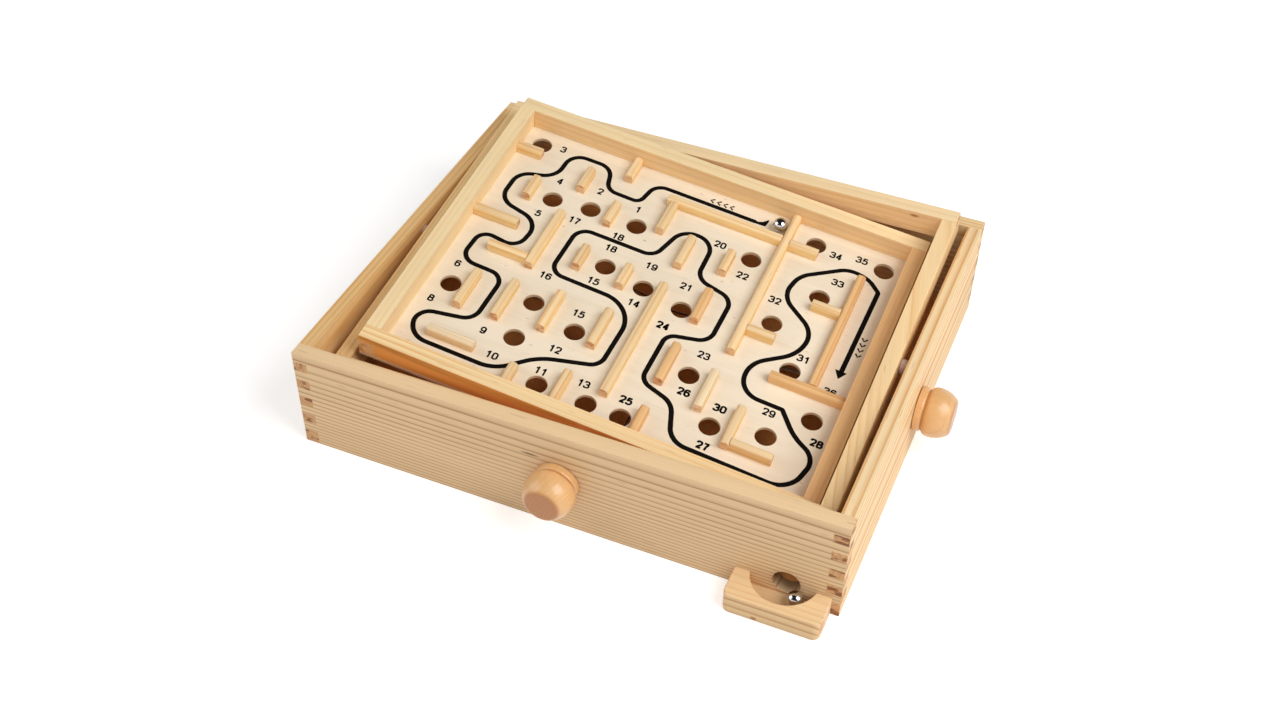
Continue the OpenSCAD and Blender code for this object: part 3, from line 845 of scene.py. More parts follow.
@dataclass
class BoxShell:
    """The fixed box: four finger-jointed walls, the floor on its blocks and the ball tray."""

    front: PineFinish = PineFinish(
        early=srgb(235, 201, 156), late=srgb(164, 108, 58), wander=0.8, line=0.95, young=12.0 * MM, patch=0.7,
        sharp=2.0, calm=0.95,
    )
    side: PineFinish = PineFinish(ring=3.0 * MM, wander=2.0, line=0.85)
    banded: PineFinish = PineFinish(
        early=srgb(250, 221, 174), late=srgb(220, 152, 76), ring=3.2 * MM, wander=0.8, line=1.0, patch=0.7
    )
    block: PineFinish = PineFinish(
        early=srgb(248, 216, 166), late=srgb(198, 130, 66), ring=2.8 * MM, wander=1.6, line=0.95, patch=0.5,
        sharp=1.4, calm=0.6, end_light=srgb(246, 216, 172), end_dark=srgb(216, 166, 120),
    )
    pitch: Colour = srgb(112, 78, 46)
    knot: Colour = srgb(166, 100, 54)
    # Painted shade: colour of the spot that darkens the inside of the outlet
    dusk: Colour = srgb(86, 32, 4)
    # Painted light: the floor's tones are far brighter than fibreboard, standing in for light that reaches it
    # through the holes
    floor_light: Colour = srgb(250, 178, 104)
    floor_dark: Colour = srgb(232, 158, 86)
    floor_ease: float = 0.2 * MM
    streak_place: Point = (-15.0, 45.0)
    rim_place: Triple = (-28.0, 2.0, 12.3)
    eye_place: Point = (17.0, 1.8)

    def build(self) -> None:
        """Makes the walls, the tray and the floor. The marks' places are in millimetres.

        The streak lies off the front wall's middle, and the rim off its right end behind the outlet, where
        it darkens the bore as painted shade. The eye lies off the tray's left end.
        """
        low, high = span("front_wall")
        across, up = np.multiply(self.streak_place, MM)
        place = ((low[0] + high[0]) / 2 + across, low[1], up)
        streak = Mark(place, radius=0.9 * MM, length=7.0, shade=self.pitch)
        # Painted shade: the rim spot sits just behind the outlet and darkens its bore, where shade falls
        across, back, up = np.multiply(self.rim_place, MM)
        place = (high[0] + across, high[1] + back, up)
        rim = Mark(place, radius=14 * MM, length=1.0, shade=self.dusk)
        low, high = span("ball_tray")
        across, up = np.multiply(self.eye_place, MM)
        eye = Mark((low[0] + across, low[1], up), radius=1.5 * MM, length=1.4, shade=self.knot)
        box, x, y = Body.BOX, Grain.X, Grain.Y
        for plank in (
            Plank("front_wall", box, x, (4.0, 39.2), finish=self.front, marks=(streak, rim)),
            Plank("back_wall", box, x, (-26.0, 34.0), finish=self.side),
            # Painted shade in part: the left wall's warmer, darker tint is partly its own tone, partly the
            # warm colour of shade on its inner face
            Plank("left_wall", box, y, (-22.0, 24.0), finish=self.side, tint=(0.90, 0.80, 0.66)),
            Plank("right_wall", box, y, (25.0, 2.0), finish=self.banded),
            Plank(
                "ball_tray", box, x, (9.0, 16.0), ease=0.8, tint=(0.86, 0.83, 0.82), finish=self.block,
                marks=(eye,),
            ),
            Plank("floor_blocks", box, x, (20.0, 10.0), ease=0.4),
        ):
            plank.build()
        # Painted light: the floor panel's bright colour stands in for light under the board
        fibre = MattFinish(self.floor_light, self.floor_dark, grain=700.0).dress("floor_fibreboard_painted_lit")
        panel = rounded_copy("floor_panel", "floor_panel_board", self.floor_ease)
        seat(panel, box, "floor_board", fibre, "floor_panel")


@dataclass
class TiltRails:
    """The ring's and the board frame's rails, lapped at their corners."""

    # Painted bounce light: plain gives side faces a little amber glow
    plain: PineFinish = PineFinish(line=0.4, ring=4.0 * MM, flank=0.2)
    fine: PineFinish = PineFinish(
        line=0.5, ring=2.4 * MM, wander=3.0, end_light=srgb(242, 198, 142), end_dark=srgb(204, 142, 92)
    )
    slanted: PineFinish = PineFinish(line=0.5, ring=3.6 * MM, wander=2.5, patch=0.0)
    # Painted bounce light: these side faces are mostly amber glow, for warm light bounced in the gaps
    sided: PineFinish = PineFinish(flank=0.85)
    knot: Colour = srgb(168, 104, 58)
    knot_place: Point = (24.0, 3.0)

    def build(self) -> None:
        """Makes the eight rails. The knot's place is in millimetres from the right end and the top."""
        low, high = span("ring_back", AXES[Body.RING])
        across, down = np.multiply(self.knot_place, MM)
        place = AXES[Body.RING].to_row(np.array([high[0] - across, low[1], high[2] - down]))
        eye = Mark(tuple(place.tolist()), radius=1.3 * MM, length=2.6, shade=self.knot)
        ring, board, x, y = Body.RING, Body.BOARD, Grain.X, Grain.Y
        for plank in (
            Plank("ring_front", ring, x, (18.0, -14.0), finish=self.sided),
            Plank(
                "ring_back", ring, x, (-15.0, 19.0), tint=(1.04, 1.07, 1.15), finish=self.plain, marks=(eye,)
            ),
            Plank("ring_left", ring, y, (17.0, 16.0), tint=(1.06, 1.0, 0.9)),
            Plank(
                "ring_right", ring, y, (-16.0, 21.0), tint=(1.03, 1.0, 0.98), lean=13.0, finish=self.slanted
            ),
            Plank("frame_front", board, x, (22.0, 12.0), tint=(1.03, 1.03, 1.02), finish=self.sided),
            Plank("frame_back", board, x, (-14.0, -20.0), tint=(1.01, 1.06, 1.12), finish=self.plain),
            Plank("frame_left", board, y, (-19.0, 17.0), tint=(1.07, 1.12, 1.18), finish=self.fine),
            # Painted shade: frame_right's warmer, darker tint stands in for the warm shade on its top
            Plank("frame_right", board, y, (18.0, 14.0), tint=(0.98, 0.82, 0.70), finish=self.fine),
        ):
            plank.build()


def angles(sides: int) -> Array:
    """Angles of evenly spaced points around a full turn."""
    return np.linspace(0, FULL_TURN, sides, endpoint=False)


def circle(turn: Array, first: Array, second: Array) -> Array:
    """Vectors at each angle of a turn from a first direction towards a second."""
    return np.cos(turn)[:, None] * first + np.sin(turn)[:, None] * second


def arc(middle: Point, radius: float, turn: Array) -> Array:
    """Points of a flat arc about a middle, at each angle of a turn."""
    return middle + radius * circle(turn, *np.eye(2))


def bar_rings(length: float, width: float, height: float, crown: float, ease: float) -> Array:
    """Rings of a straight bar with a rounded section and eased ends.

    The section is a rectangle with quarter circles at its four corners. Towards each end the section is drawn
    in by ease times (1 - cos t) while it advances by ease times sin t, for t from 0 to a right angle.

    Args:
        length, width, height: sizes of the bar along its own X, Y and Z, with its base on Z = 0.
        crown: radius of the two upper corners.
        ease: radius of the lower corners and of the end edges.

    Returns:
        Array of rings by points by 3.
    """
    turn, roll = np.linspace(0, QUARTER_TURN, SECTION_STEPS), np.linspace(QUARTER_TURN, 0, END_STEPS)
    corner = np.array([[1, 1, crown], [-1, 1, crown], [-1, -1, ease], [1, -1, ease]])
    angle = (np.arange(4)[:, None] * QUARTER_TURN + turn).reshape(-1)
    side, up, radius = (np.repeat(corner[:, k], len(turn)) for k in range(3))
    centre_y = side * (width / 2 - radius)
    centre_z = np.where(up > 0, height - radius, radius)
    draw = np.concatenate([ease * (1 - np.cos(roll)), ease * (1 - np.cos(roll[::-1]))])
    out = length / 2 - ease + ease * np.sin(roll)
    reach = radius[None] - draw[:, None]
    station = np.broadcast_to(np.concatenate([-out, out[::-1]])[:, None], reach.shape)
    return np.stack([station, centre_y + reach * np.cos(angle), centre_z + reach * np.sin(angle)], -1)


@dataclass
class MazeStrips:
    """The strips glued on the board, each a bar with a rounded crown."""

    crown: float = 1.7 * MM
    ease: float = 0.35 * MM
    seed: int = 11
    # Painted bounce light: pale and white strips give their side faces a little amber glow
    pale: PineFinish = PineFinish(
        early=srgb(246, 215, 166), late=srgb(222, 158, 86), ring=3.4 * MM, wander=1.6, line=0.9,
        end_light=srgb(240, 200, 152), end_dark=srgb(206, 148, 102), flank=0.25, amber=srgb(255, 208, 92),
    )
    rich: PineFinish = PineFinish(
        early=srgb(236, 191, 134), late=srgb(208, 142, 76), ring=4.2 * MM, wander=1.6, line=0.8,
        end_light=srgb(232, 182, 132), end_dark=srgb(196, 132, 88),
    )
    white: PineFinish = PineFinish(
        early=srgb(250, 228, 190), late=srgb(230, 184, 128), ring=3.0 * MM, wander=1.6, line=0.8,
        end_light=srgb(245, 214, 174), end_dark=srgb(216, 166, 122), flank=0.25, amber=srgb(255, 208, 92),
    )
    rich_nodes: Sequence[str] = (
        "strip_finish", "strip_back_3", "strip_goal", "strip_front_2", "strip_right_1",
    )
    white_nodes: Sequence[str] = ("strip_right_2", "strip_left_4")
    pith_side: Point = (5.0, 16.0)
    pith_up: Point = (-10.0, 14.0)
    tones: Point = (0.94, 1.04)

    def build(self) -> None:
        """Makes a piece for each CAD node of strips and each way of their grain, each with its own rings."""
        draw = np.random.default_rng(self.seed)
        axes = AXES[Body.BOARD]
        for node in sorted(n for n in frame["nodes"] if n.startswith("strip")):
            bars = islands(node, axes)
            for grain in Grain:
                chosen = [bar for bar in bars if (bar[1] - bar[0])[:2].argmax() == grain.value]
                if chosen:
                    self.add_bars(node, grain, chosen, draw)

    def add_bars(self, node: str, grain: Grain, bars: Sequence[Corners], draw: np.random.Generator) -> None:
        """Makes the strips of one node that share a grain, as one piece.

        Args:
            node: CAD node of the strips.
            grain: axis along which they run.
            bars: corners of each strip in the board's axes.
            draw: source of the pith's place and the tone.
        """
        axes = AXES[Body.BOARD]
        rows = axes.grain_rows(grain)
        shell = Shell()
        for low, high in bars:
            size = high - low
            base = axes.to_row(np.append((low + high)[:2] / 2, low[2]))
            shape = bar_rings(size[grain.value], size[1 - grain.value], size[2], self.crown, self.ease)
            shell.add_loft(shape @ rows + base)
        side = draw.choice([-1, 1]) * draw.uniform(*self.pith_side)
        pith = base + (rows[1] * side + rows[2] * draw.uniform(*self.pith_up)) * MM
        name = f"{node}_{grain.name.lower()}"
        wood = self.rich if node in self.rich_nodes else self.white if node in self.white_nodes else self.pale
        material = wood.dress(name + "_pine", rows, pith, draw.uniform(*self.tones))
        seat(shell.piece(name + "_wood"), Body.BOARD, "pale_pine", material, node)


def filleted(corners: Sequence[Triple], spacing: float) -> Array:
    """A path through corner points with a round at each inner one.

    Each round is the arc of its radius that touches both straight runs, cut down where a run is too short.

    Args:
        corners: x, y and radius of each corner.
        spacing: largest step along an arc.

    Returns:
        Array of points by 2.
    """
    plan = np.array(corners, float)
    path = [plan[0, :2]]
    for before, here, after in zip(plan[:-2], plan[1:-1], plan[2:]):
        back, on = before[:2] - here[:2], after[:2] - here[:2]
        room = ROUND_SHARE * min(np.linalg.norm(back), np.linalg.norm(on))
        back, on = back / np.linalg.norm(back), on / np.linalg.norm(on)
        half = math.acos(float(np.clip(back @ on, -1, 1))) / 2
        touch = min(here[2] / math.tan(half), room)
        radius = touch * math.tan(half)
        inward = (back + on) / np.linalg.norm(back + on)
        centre = here[:2] + inward * radius / math.sin(half)
        start, end = here[:2] + back * touch - centre, here[:2] + on * touch - centre
        sweep = math.atan2(start[0] * end[1] - start[1] * end[0], float(start @ end))
        turn = np.linspace(0, sweep, max(3, int(radius * abs(sweep) / spacing) + 2))
        path.append(centre + circle(turn, start, np.array([-start[1], start[0]])))
    path.append(plan[-1, :2])
    return np.concatenate([np.atleast_2d(p) for p in path])


def loop(left: float, right: float, low: float, high: float, radius: float, start: float) -> Sequence[Triple]:
    """Corners of a closed stroke round a box, begun at a height on its left side."""
    round_box = ((left, high, radius), (right, high, radius), (right, low, radius), (left, low, radius))
    return ((left, start, 0), *round_box, (left, start, 0))


SIX: Sequence[Triple] = (
    (2.7, 3.5, 0), (2.6, 4.35, 0.9), (0.45, 4.35, 1.3), (0.45, 0.45, 1.2), (2.85, 0.45, 1.2),
    (2.85, 2.9, 1.2), (0.6, 2.9, 1.2), (0.5, 1.6, 0),
)
# Strokes of each digit in millimetres: x, y and the round's radius of every corner
DIGITS: Dict[str, Sequence[Sequence[Triple]]] = {
    "0": (loop(0.45, 2.85, 0.45, 4.35, 1.2, 2.4),),
    "1": (((1.9, 0, 0), (1.9, 4.8, 0)), ((0.65, 3.3, 0), (1.9, 4.3, 0))),
    "2": (
        ((0.5, 3.25, 0), (0.5, 4.35, 1.1), (2.8, 4.35, 1.1), (2.8, 2.75, 1), (0.7, 0.5, 0)),
        ((0.3, 0.45, 0), (2.95, 0.45, 0)),
    ),
    "3": (
        ((0.5, 3.45, 0), (0.5, 4.35, 1), (2.7, 4.35, 1), (2.7, 2.5, 0.95), (1.2, 2.5, 0)),
        ((1.2, 2.5, 0), (2.85, 2.5, 1), (2.85, 0.45, 1), (0.42, 0.45, 1.05), (0.42, 1.35, 0)),
    ),
    "4": (((2.2, 0, 0), (2.2, 4.8, 0)), ((2.1, 4.5, 0), (0.5, 1.5, 0)), ((0.2, 1.4, 0), (3.1, 1.4, 0))),
    "5": (
        ((0.75, 4.35, 0), (2.8, 4.35, 0)),
        ((0.95, 4.6, 0), (0.6, 2.2, 0)),
        (
            (0.55, 2.3, 0), (1, 2.95, 0.6), (2.85, 2.95, 1.2), (2.85, 0.45, 1.2), (0.42, 0.45, 1.1),
            (0.42, 1.3, 0),
        ),
    ),
    "6": (SIX,),
    "7": (((0.35, 4.35, 0), (2.95, 4.35, 0)), ((2.7, 4.3, 0), (1.75, 2.4, 2.5), (1.35, 0, 0))),
    "8": (loop(0.6, 2.7, 2.55, 4.35, 0.9, 3.5), loop(0.45, 2.85, 0.45, 2.55, 1.05, 1.5)),
    "9": (tuple((3.3 - x, 4.8 - y, r) for x, y, r in SIX),),
}


@dataclass
class BoardPrint:
    """The ink on the board: the track with its start wedge and arrow head, the numbers and the way marks.

    All sizes are in millimetres on the board's face. The track's corners have x, y and the radius of their
    round, and the numbers the place of their middle.
    """

    tone: Colour = srgb(12, 9, 7)
    speckle: Colour = srgb(22, 17, 14)
    width: float = 2.75
    stroke: float = 1.0
    heavy: float = 1.22
    spread: float = 3.65
    half_height: float = 2.4
    ink: float = 0.04
    track_step: float = 0.8
    digit_step: float = 0.25
    chevrons: int = 4
    chevron_pitch: float = 4.0
    chevron: Point = (2.0, 1.6)
    start_mark: Point = (-0.5, 86.0)
    goal_mark: Point = (112.6, 28.0)
    track: Sequence[Triple] = (
        (28.5, 82, 0), (-33.5, 82.5, 8.5), (-37, 65, 5), (-57.5, 65.5, 7.5), (-62, 83, 9.5), (-87, 83, 9.5),
        (-88, 61, 12), (-108.5, 54.5, 11), (-109, 30.5, 11), (-81, 24, 12), (-84, 1, 8.5), (-107, 4, 7),
        (-108.5, -20, 8.5), (-81, -21, 8), (-82, -56, 9), (-112.5, -62.5, 8.5), (-107, -80.5, 12.5),
        (-58, -81, 21), (-40, -63.5, 33.5), (-9, -54, 8.5), (-7.5, -8, 19), (-60.5, -6.5, 8),
        (-59.5, 31, 8.5), (-13.5, 30.5, 8.5), (-6, 57.5, 12), (13.5, 55.5, 12), (14, 26.5, 9.5),
        (37.5, 21, 9), (37, -12.5, 9), (14.5, -18.5, 7), (14, -53, 8), (34.5, -59.5, 12),
        (42.5, -82.5, 12.5), (108, -84, 14.5), (114, -59.5, 11), (99, -51, 33.5), (88, -37.5, 0.5),
        (64.5, -37, 13), (60.5, -17, 17), (83, 1, 22), (85.5, 19, 17), (61.5, 36.5, 14), (65, 54.5, 16.5),
        (89, 72.5, 17.5), (101.5, 70, 15.5), (109, 63, 1.5), (108, -1, 0),
    )
    bold: Sequence[int] = (24, 25, 26, 27, 28, 30)
    wedge: Sequence[Point] = (
        (28, 83), (30, 82.9), (32.5, 84), (35, 87), (35.5, 85.8), (34.8, 81.2), (32.4, 80.9), (28.5, 80.9),
    )
    arrow: Sequence[Point] = ((111.2, 0.7), (104.4, 0.9), (107.8, -5.0))
    numbers: Sequence[Tuple[int, float, float]] = (
        (3, -93, 83.5), (4, -84, 59), (2, -60, 62.5), (1, -35, 59.5), (5, -84.5, 30.5), (17, -64, 35),
        (18, -37, 35), (18, -37, 25), (19, -11.5, 23), (16, -61, -10), (15, -36, -1.5), (14, -10, -6),
        (6, -107.5, -24), (8, -109, -52.5), (9, -74, -60), (10, -62.5, -73), (15, -33.5, -26.5),
        (12, -34.5, -54.5), (11, -35, -71), (13, -11.5, -68.5), (25, 12.5, -68.5), (20, 17, 56),
        (22, 36.5, 40), (21, 11.5, 18), (24, 10.5, -13.5), (23, 38, -22.5), (26, 37.5, -50),
        (30, 58.5, -51.5), (27, 59, -77.5), (29, 82.5, -42.5), (28, 111.5, -50), (31, 87, -0.5),
        (32, 59, 31.5), (33, 86.5, 59.5), (34, 79, 78.5), (35, 93.5, 82), (36, 107, -15.2),
    )

    def __post_init__(self) -> None:
        """Takes the height of the board's face from its CAD node."""
        self.face = span("maze_board", AXES[Body.BOARD])[1][2]

    def lay(self, flat: Array, level: float) -> Array:
        """Points of the plan at a height above the board's face, in the row frame."""
        height = np.full(len(flat), self.face + level * MM)
        return AXES[Body.BOARD].to_row(np.column_stack([flat * MM, height]))

    def add_outline(self, shell: Shell, outline: Array) -> None:
        """Adds a flat patch of ink as a thin closed slab.

        Args:
            shell: mesh to add to.
            outline: points around the patch.
        """
        turn = np.roll(outline, -1, 0)
        if (outline[:, 0] * turn[:, 1] - turn[:, 0] * outline[:, 1]).sum() < 0:
            outline = outline[::-1]
        shell.add_loft(np.stack([self.lay(outline, 0.0), self.lay(outline, self.ink)]))

    def add_stroke(self, shell: Shell, path: Array, width: float) -> None:
        """Adds a band of ink along a path: a thin box section carried along it.

        Args:
            shell: mesh to add to.
            path: points of the middle line.
            width: width of the band.
        """
        step = np.gradient(path, axis=0)
        normal = np.stack([-step[:, 1], step[:, 0]], -1) / np.linalg.norm(step, axis=1)[:, None]
        left, right = path + normal * width / 2, path - normal * width / 2
        section = [(right, 0.0), (right, self.ink), (left, self.ink), (left, 0.0)]
        shell.add_loft(np.stack([self.lay(p, level) for p, level in section], 1)[:, ::-1])

    def add_number(self, shell: Shell, number: int, x: float, y: float) -> None:
        """Adds a plain number, centred on a place, from the strokes of its digits.

        Args:
            shell: mesh to add to.
            number: the number.
            x, y: its middle on the board.
        """
        digits, width = str(number), self.heavy if number in self.bold else self.stroke
        for k, digit in enumerate(digits):
            corner = np.array([x + (k - len(digits) / 2) * self.spread, y - self.half_height])
            for stroke in DIGITS[digit]:
                self.add_stroke(shell, filleted(stroke, self.digit_step) + corner, width)

    def add_chevrons(self, shell: Shell) -> None:
        """Adds the two rows of chevrons that point along the track.

        Args:
            shell: mesh to add to.
        """
        long, half = self.chevron
        for k in range(self.chevrons):
            tip, y = self.start_mark[0] + self.chevron_pitch * k, self.start_mark[1]
            x, top = self.goal_mark[0], self.goal_mark[1] - self.chevron_pitch * k
            for path in (
                [[tip + long, y + half], [tip, y], [tip + long, y - half]],
                [[x - half, top], [x, top - long], [x + half, top]],
            ):
                self.add_stroke(shell, np.array(path), self.stroke)

    def build(self) -> None:
        """Makes the track, the numbers and the way marks."""
        matt = MattFinish(self.tone, self.speckle, grain=1500.0, rough=(0.7, 0.85), gloss=0.05)
        ink = matt.dress("black_ink")
        track, digits, marks = Shell(), Shell(), Shell()
        self.add_stroke(track, filleted(self.track, self.track_step), self.width)
        self.add_outline(track, np.array(self.wedge))
        self.add_outline(track, np.array(self.arrow))
        for number, x, y in self.numbers:
            self.add_number(digits, number, x, y)
        self.add_chevrons(marks)
        for name, shell in (("track", track), ("numbers", digits), ("way_marks", marks)):
            seat(shell.piece("printed_" + name), Body.BOARD, "plywood", ink)


@dataclass
class MazeBoard:
    """The plywood board with its holes."""

    ease: float = 0.25 * MM

    def build(self) -> None:
        """Makes the board as an eased copy of its CAD node."""
        axes = AXES[Body.BOARD]
        low, high = span("maze_board", axes)
        ply = PlyFinish().dress("pale_plywood", axes, (low[2] + high[2]) / 2, high[2] - low[2])
        piece = rounded_copy("maze_board", "maze_board_ply", self.ease)
        seat(piece, Body.BOARD, "plywood", ply, "maze_board")


def turned(profile: Array, rows: Array, origin: Array, sides: int = 96) -> Array:
    """Rings of a turned body: each profile point's radius carried round the first axis.

    Args:
        profile: array of points by radius and place along the axis.
        rows: axes with the turning axis first.
        origin: point on the axis at place 0.
        sides: points around.

    Returns:
        Array of rings by points by 3.
    """
    spokes = circle(angles(sides), rows[1], rows[2])
    return origin + profile[:, 1, None, None] * rows[0] + profile[:, 0, None, None] * spokes


def about(direction: Array) -> Array:
    """Right-handed axes about a direction.

    Args:
        direction: unit vector that comes first.

    Returns:
        The axes as rows.
    """
    helper = [0.0, 0.0, 1.0] if abs(direction[2]) < UPRIGHT else [1.0, 0.0, 0.0]
    across = np.cross(helper, direction)
    across = across / np.linalg.norm(across)
    return np.array([direction, across, np.cross(direction, across)])


@dataclass
class KnobUnit:
    """A turned knob on its shaft. Its sizes are in millimetres."""

    node: str
    body: Body
    outward: Array
    reach: float = 13.5
    middle: float = 9.5
    length: float = 19.5
    collar: float = 12.0
    collar_length: float = 4.5
    bead: float = 1.6
    crease: float = 11.1
    blend: float = 0.7
    edge: float = 2.8
    foot: float = 0.5
    slope: float = 1.5
    bore: float = 1.5
    tip: float = 0.02
    pith: Point = (16.0, -9.0)
    body_steps: int = 60
    rim_steps: int = 12
    smooth_below: float = 40.0

    def profile(self) -> Array:
        """Radius and place of the turned outline, in metres: collar with its bead, round body and flat end.

        The body's radius is the soft minimum of a circle about its middle and of a cone that rises from the
        crease behind the collar. A small arc takes the circle over into the flat end.

        Returns:
            Array of points by radius and place.
        """
        quarter = np.linspace(0, QUARTER_TURN, COLLAR_STEPS)
        foot = arc((self.collar - self.foot, self.foot), self.foot, quarter - QUARTER_TURN)
        bead = arc((self.collar - self.bead, self.collar_length - self.bead), self.bead, quarter)[:-2]
        inner = self.reach - self.edge
        stop = math.asin((self.length - self.edge - self.middle) / inner)
        place = np.linspace(self.collar_length, self.middle + self.reach * math.sin(stop), self.body_steps)
        circle = np.sqrt(self.reach**2 - (place - self.middle) ** 2)
        cone = self.crease + self.slope * (place - self.collar_length)
        radius = -self.blend * np.logaddexp(-circle / self.blend, -cone / self.blend)
        turn = np.linspace(stop, QUARTER_TURN, self.rim_steps)[1:]
        rim = arc((inner * math.cos(stop), self.middle + inner * math.sin(stop)), self.edge, turn)
        ends = [[self.bore, 0.0]], [[self.tip, self.length]]
        return np.concatenate([ends[0], foot, bead, np.stack([radius, place], -1), rim, ends[1]]) * MM

    def build(self) -> None:
        """Makes the knob in place of its CAD node."""
        low, high = span(self.node)
        origin = (low + high) / 2 - self.outward * (abs(self.outward) @ (high - low)) / 2
        rows = about(self.outward)
        shell = Shell()
        shell.add_loft(turned(self.profile(), rows, origin))
        pith = origin + (self.pith[0] * rows[1] + self.pith[1] * rows[2]) * MM
        lacquer = LacquerFinish().dress(self.node + "_lacquer", rows, pith)
        piece = shell.piece(self.node + "_turned", self.smooth_below)
        seat(piece, self.body, "lacquered_wood", lacquer, self.node)


@dataclass
class SteelBalls:
    """The two rolling balls."""

    sides: int = 64
    pole: float = 1e-4
    smooth_below: float = 60.0

    def build(self) -> None:
        """Makes each ball as rings of a half circle turned about its upright axis."""
        polished = SteelFinish(rough=(0.04, 0.1), marks=(700.0, 700.0, 700.0)).dress("polished_steel")
        turn = np.linspace(-QUARTER_TURN, QUARTER_TURN, self.sides // 2 + 1)
        half_circle = np.stack([np.maximum(np.cos(turn), self.pole), np.sin(turn)], -1)
        rows = about(np.array([0.0, 0.0, 1.0]))
        for node, body in (("start_ball", Body.START_BALL), ("tray_ball", Body.TRAY_BALL)):
            low, high = span(node)
            shell = Shell()
            shell.add_loft(turned(half_circle * (high[2] - low[2]) / 2, rows, (low + high) / 2, self.sides))
            piece = shell.piece(node + "_polished", self.smooth_below)
            seat(piece, body, "polished_steel", polished, node)


@dataclass
class Hardware:
    """Pins, shafts, retaining rings, bushes and screw eyes."""

    ease: float = 0.25 * MM
    sides: int = 48
    pin: float = 3.0 * MM
    shaft: float = 2.8 * MM
    eye: float = 1.6 * MM
    wire: float = 1.2 * MM
    bush_light: Colour = srgb(214, 190, 182)
    bush_dark: Colour = srgb(196, 170, 162)
    smooth_below: float = 50.0

    def rod(self, length: float, radius: float, bore: float = 0.0) -> Array:
        """Profile of a rod or tube: quarter circles between its ends and its side, and a bore straight back.

        Args:
            length: length of the rod.
            radius: its radius.
            bore: radius of the bore, or 0 for none.

        Returns:
            Array of points by radius and place.
        """
        turn = np.linspace(-QUARTER_TURN, 0, ROD_STEPS)
        edge = arc((radius - self.ease, self.ease), self.ease, turn)
        outside = np.concatenate([edge, (edge * [1, -1] + [0, length])[::-1]])
        return np.concatenate([outside, [[bore, length], [bore, 0.0]]]) if bore else outside

    def build(self) -> None:
        """Makes every piece from its CAD node's place and size."""
        steel = SteelFinish().dress("drawn_steel")
        bush = MattFinish(self.bush_light, self.bush_dark, grain=1200.0).dress("moulded_bush")
        for node, body, axis, axes, bore, material, slot in (
            ("wall_pins", Body.BOX, 0, Body.BOX, 0.0, steel, "steel"),
            ("ring_pins", Body.RING, 1, Body.RING, 0.0, steel, "steel"),
            ("right_shaft", Body.RIGHT_KNOB, 0, Body.BOX, 0.0, steel, "steel"),
            ("front_shaft", Body.FRONT_KNOB, 1, Body.BOX, 0.0, steel, "steel"),
            ("right_stop", Body.RIGHT_KNOB, 0, Body.BOX, self.shaft, steel, "steel"),
            ("front_stop", Body.FRONT_KNOB, 1, Body.BOX, self.shaft, steel, "steel"),
            ("wall_bushes", Body.BOX, 0, Body.BOX, self.pin, bush, "bush"),
            ("ring_bushes", Body.RING, 1, Body.RING, self.pin, bush, "bush"),
        ):
            shell = Shell()
            for low, high in islands(node, AXES[axes]):
                size, middle = high - low, (low + high) / 2
                middle[axis] = low[axis]
                profile = self.rod(size[axis], size[2] / 2, bore / 2)
                rows, origin = about(AXES[axes].rows[axis]), AXES[axes].to_row(middle)
                shell.add_loft(turned(profile, rows, origin, self.sides), looped=bore > 0)
            seat(shell.piece(node + "_round"), body, slot, material, node)
        for node, body, across in (("ring_eyes", Body.RING, 0), ("frame_eyes", Body.BOARD, 1)):
            shell = Shell()
            for low, high in islands(node, AXES[body]):
                self.add_eye(shell, AXES[body], low, high, across)
            seat(shell.piece(node + "_bent", self.smooth_below), body, "steel", steel, node)

    def add_eye(self, shell: Shell, axes: Axes, low: Array, high: Array, across: int) -> None:
        """Adds a screw eye: a wire circle carried round a ring, and its upright shank.

        Args:
            shell: mesh to add to.
            axes: axes of the rail that holds the eye.
            low, high: corners of the CAD eye in those axes.
            across: index of the axis along which the ring lies, beside the upright one.
        """
        middle = (low + high) / 2
        middle[2] = low[2] + self.eye + self.wire / 2
        side, up = axes.rows[across], axes.rows[2]
        spokes = circle(angles(self.sides), side, up)[:, None]
        wire = self.wire / 2 * circle(angles(self.sides // 3), spokes, np.cross(up, side))
        shell.add_loft(axes.to_row(middle) + self.eye * spokes + wire, looped=True)
        foot = middle + [0.0, 0.0, self.eye]
        shank = self.rod(high[2] - foot[2], self.wire / 2)
        shell.add_loft(turned(shank, about(up), axes.to_row(foot), self.sides // 3))


def tube_rings(path: Array, radii: Array, normal: Array, sides: int) -> Array:
    """Rings of a round tube along a path, each square to the path's direction there.

    Args:
        path: array of points by 3.
        radii: radius at each point.
        normal: a direction that is never along the path.
        sides: points around.

    Returns:
        Array of rings by points by 3.
    """
    ahead = np.gradient(path, axis=0)
    ahead /= np.linalg.norm(ahead, axis=1)[:, None]
    side = np.cross(normal, ahead)
    side /= np.linalg.norm(side, axis=1)[:, None]
    spokes = circle(angles(sides), side[:, None], np.cross(ahead, side)[:, None])
    return path[:, None] + radii[:, None, None] * spokes


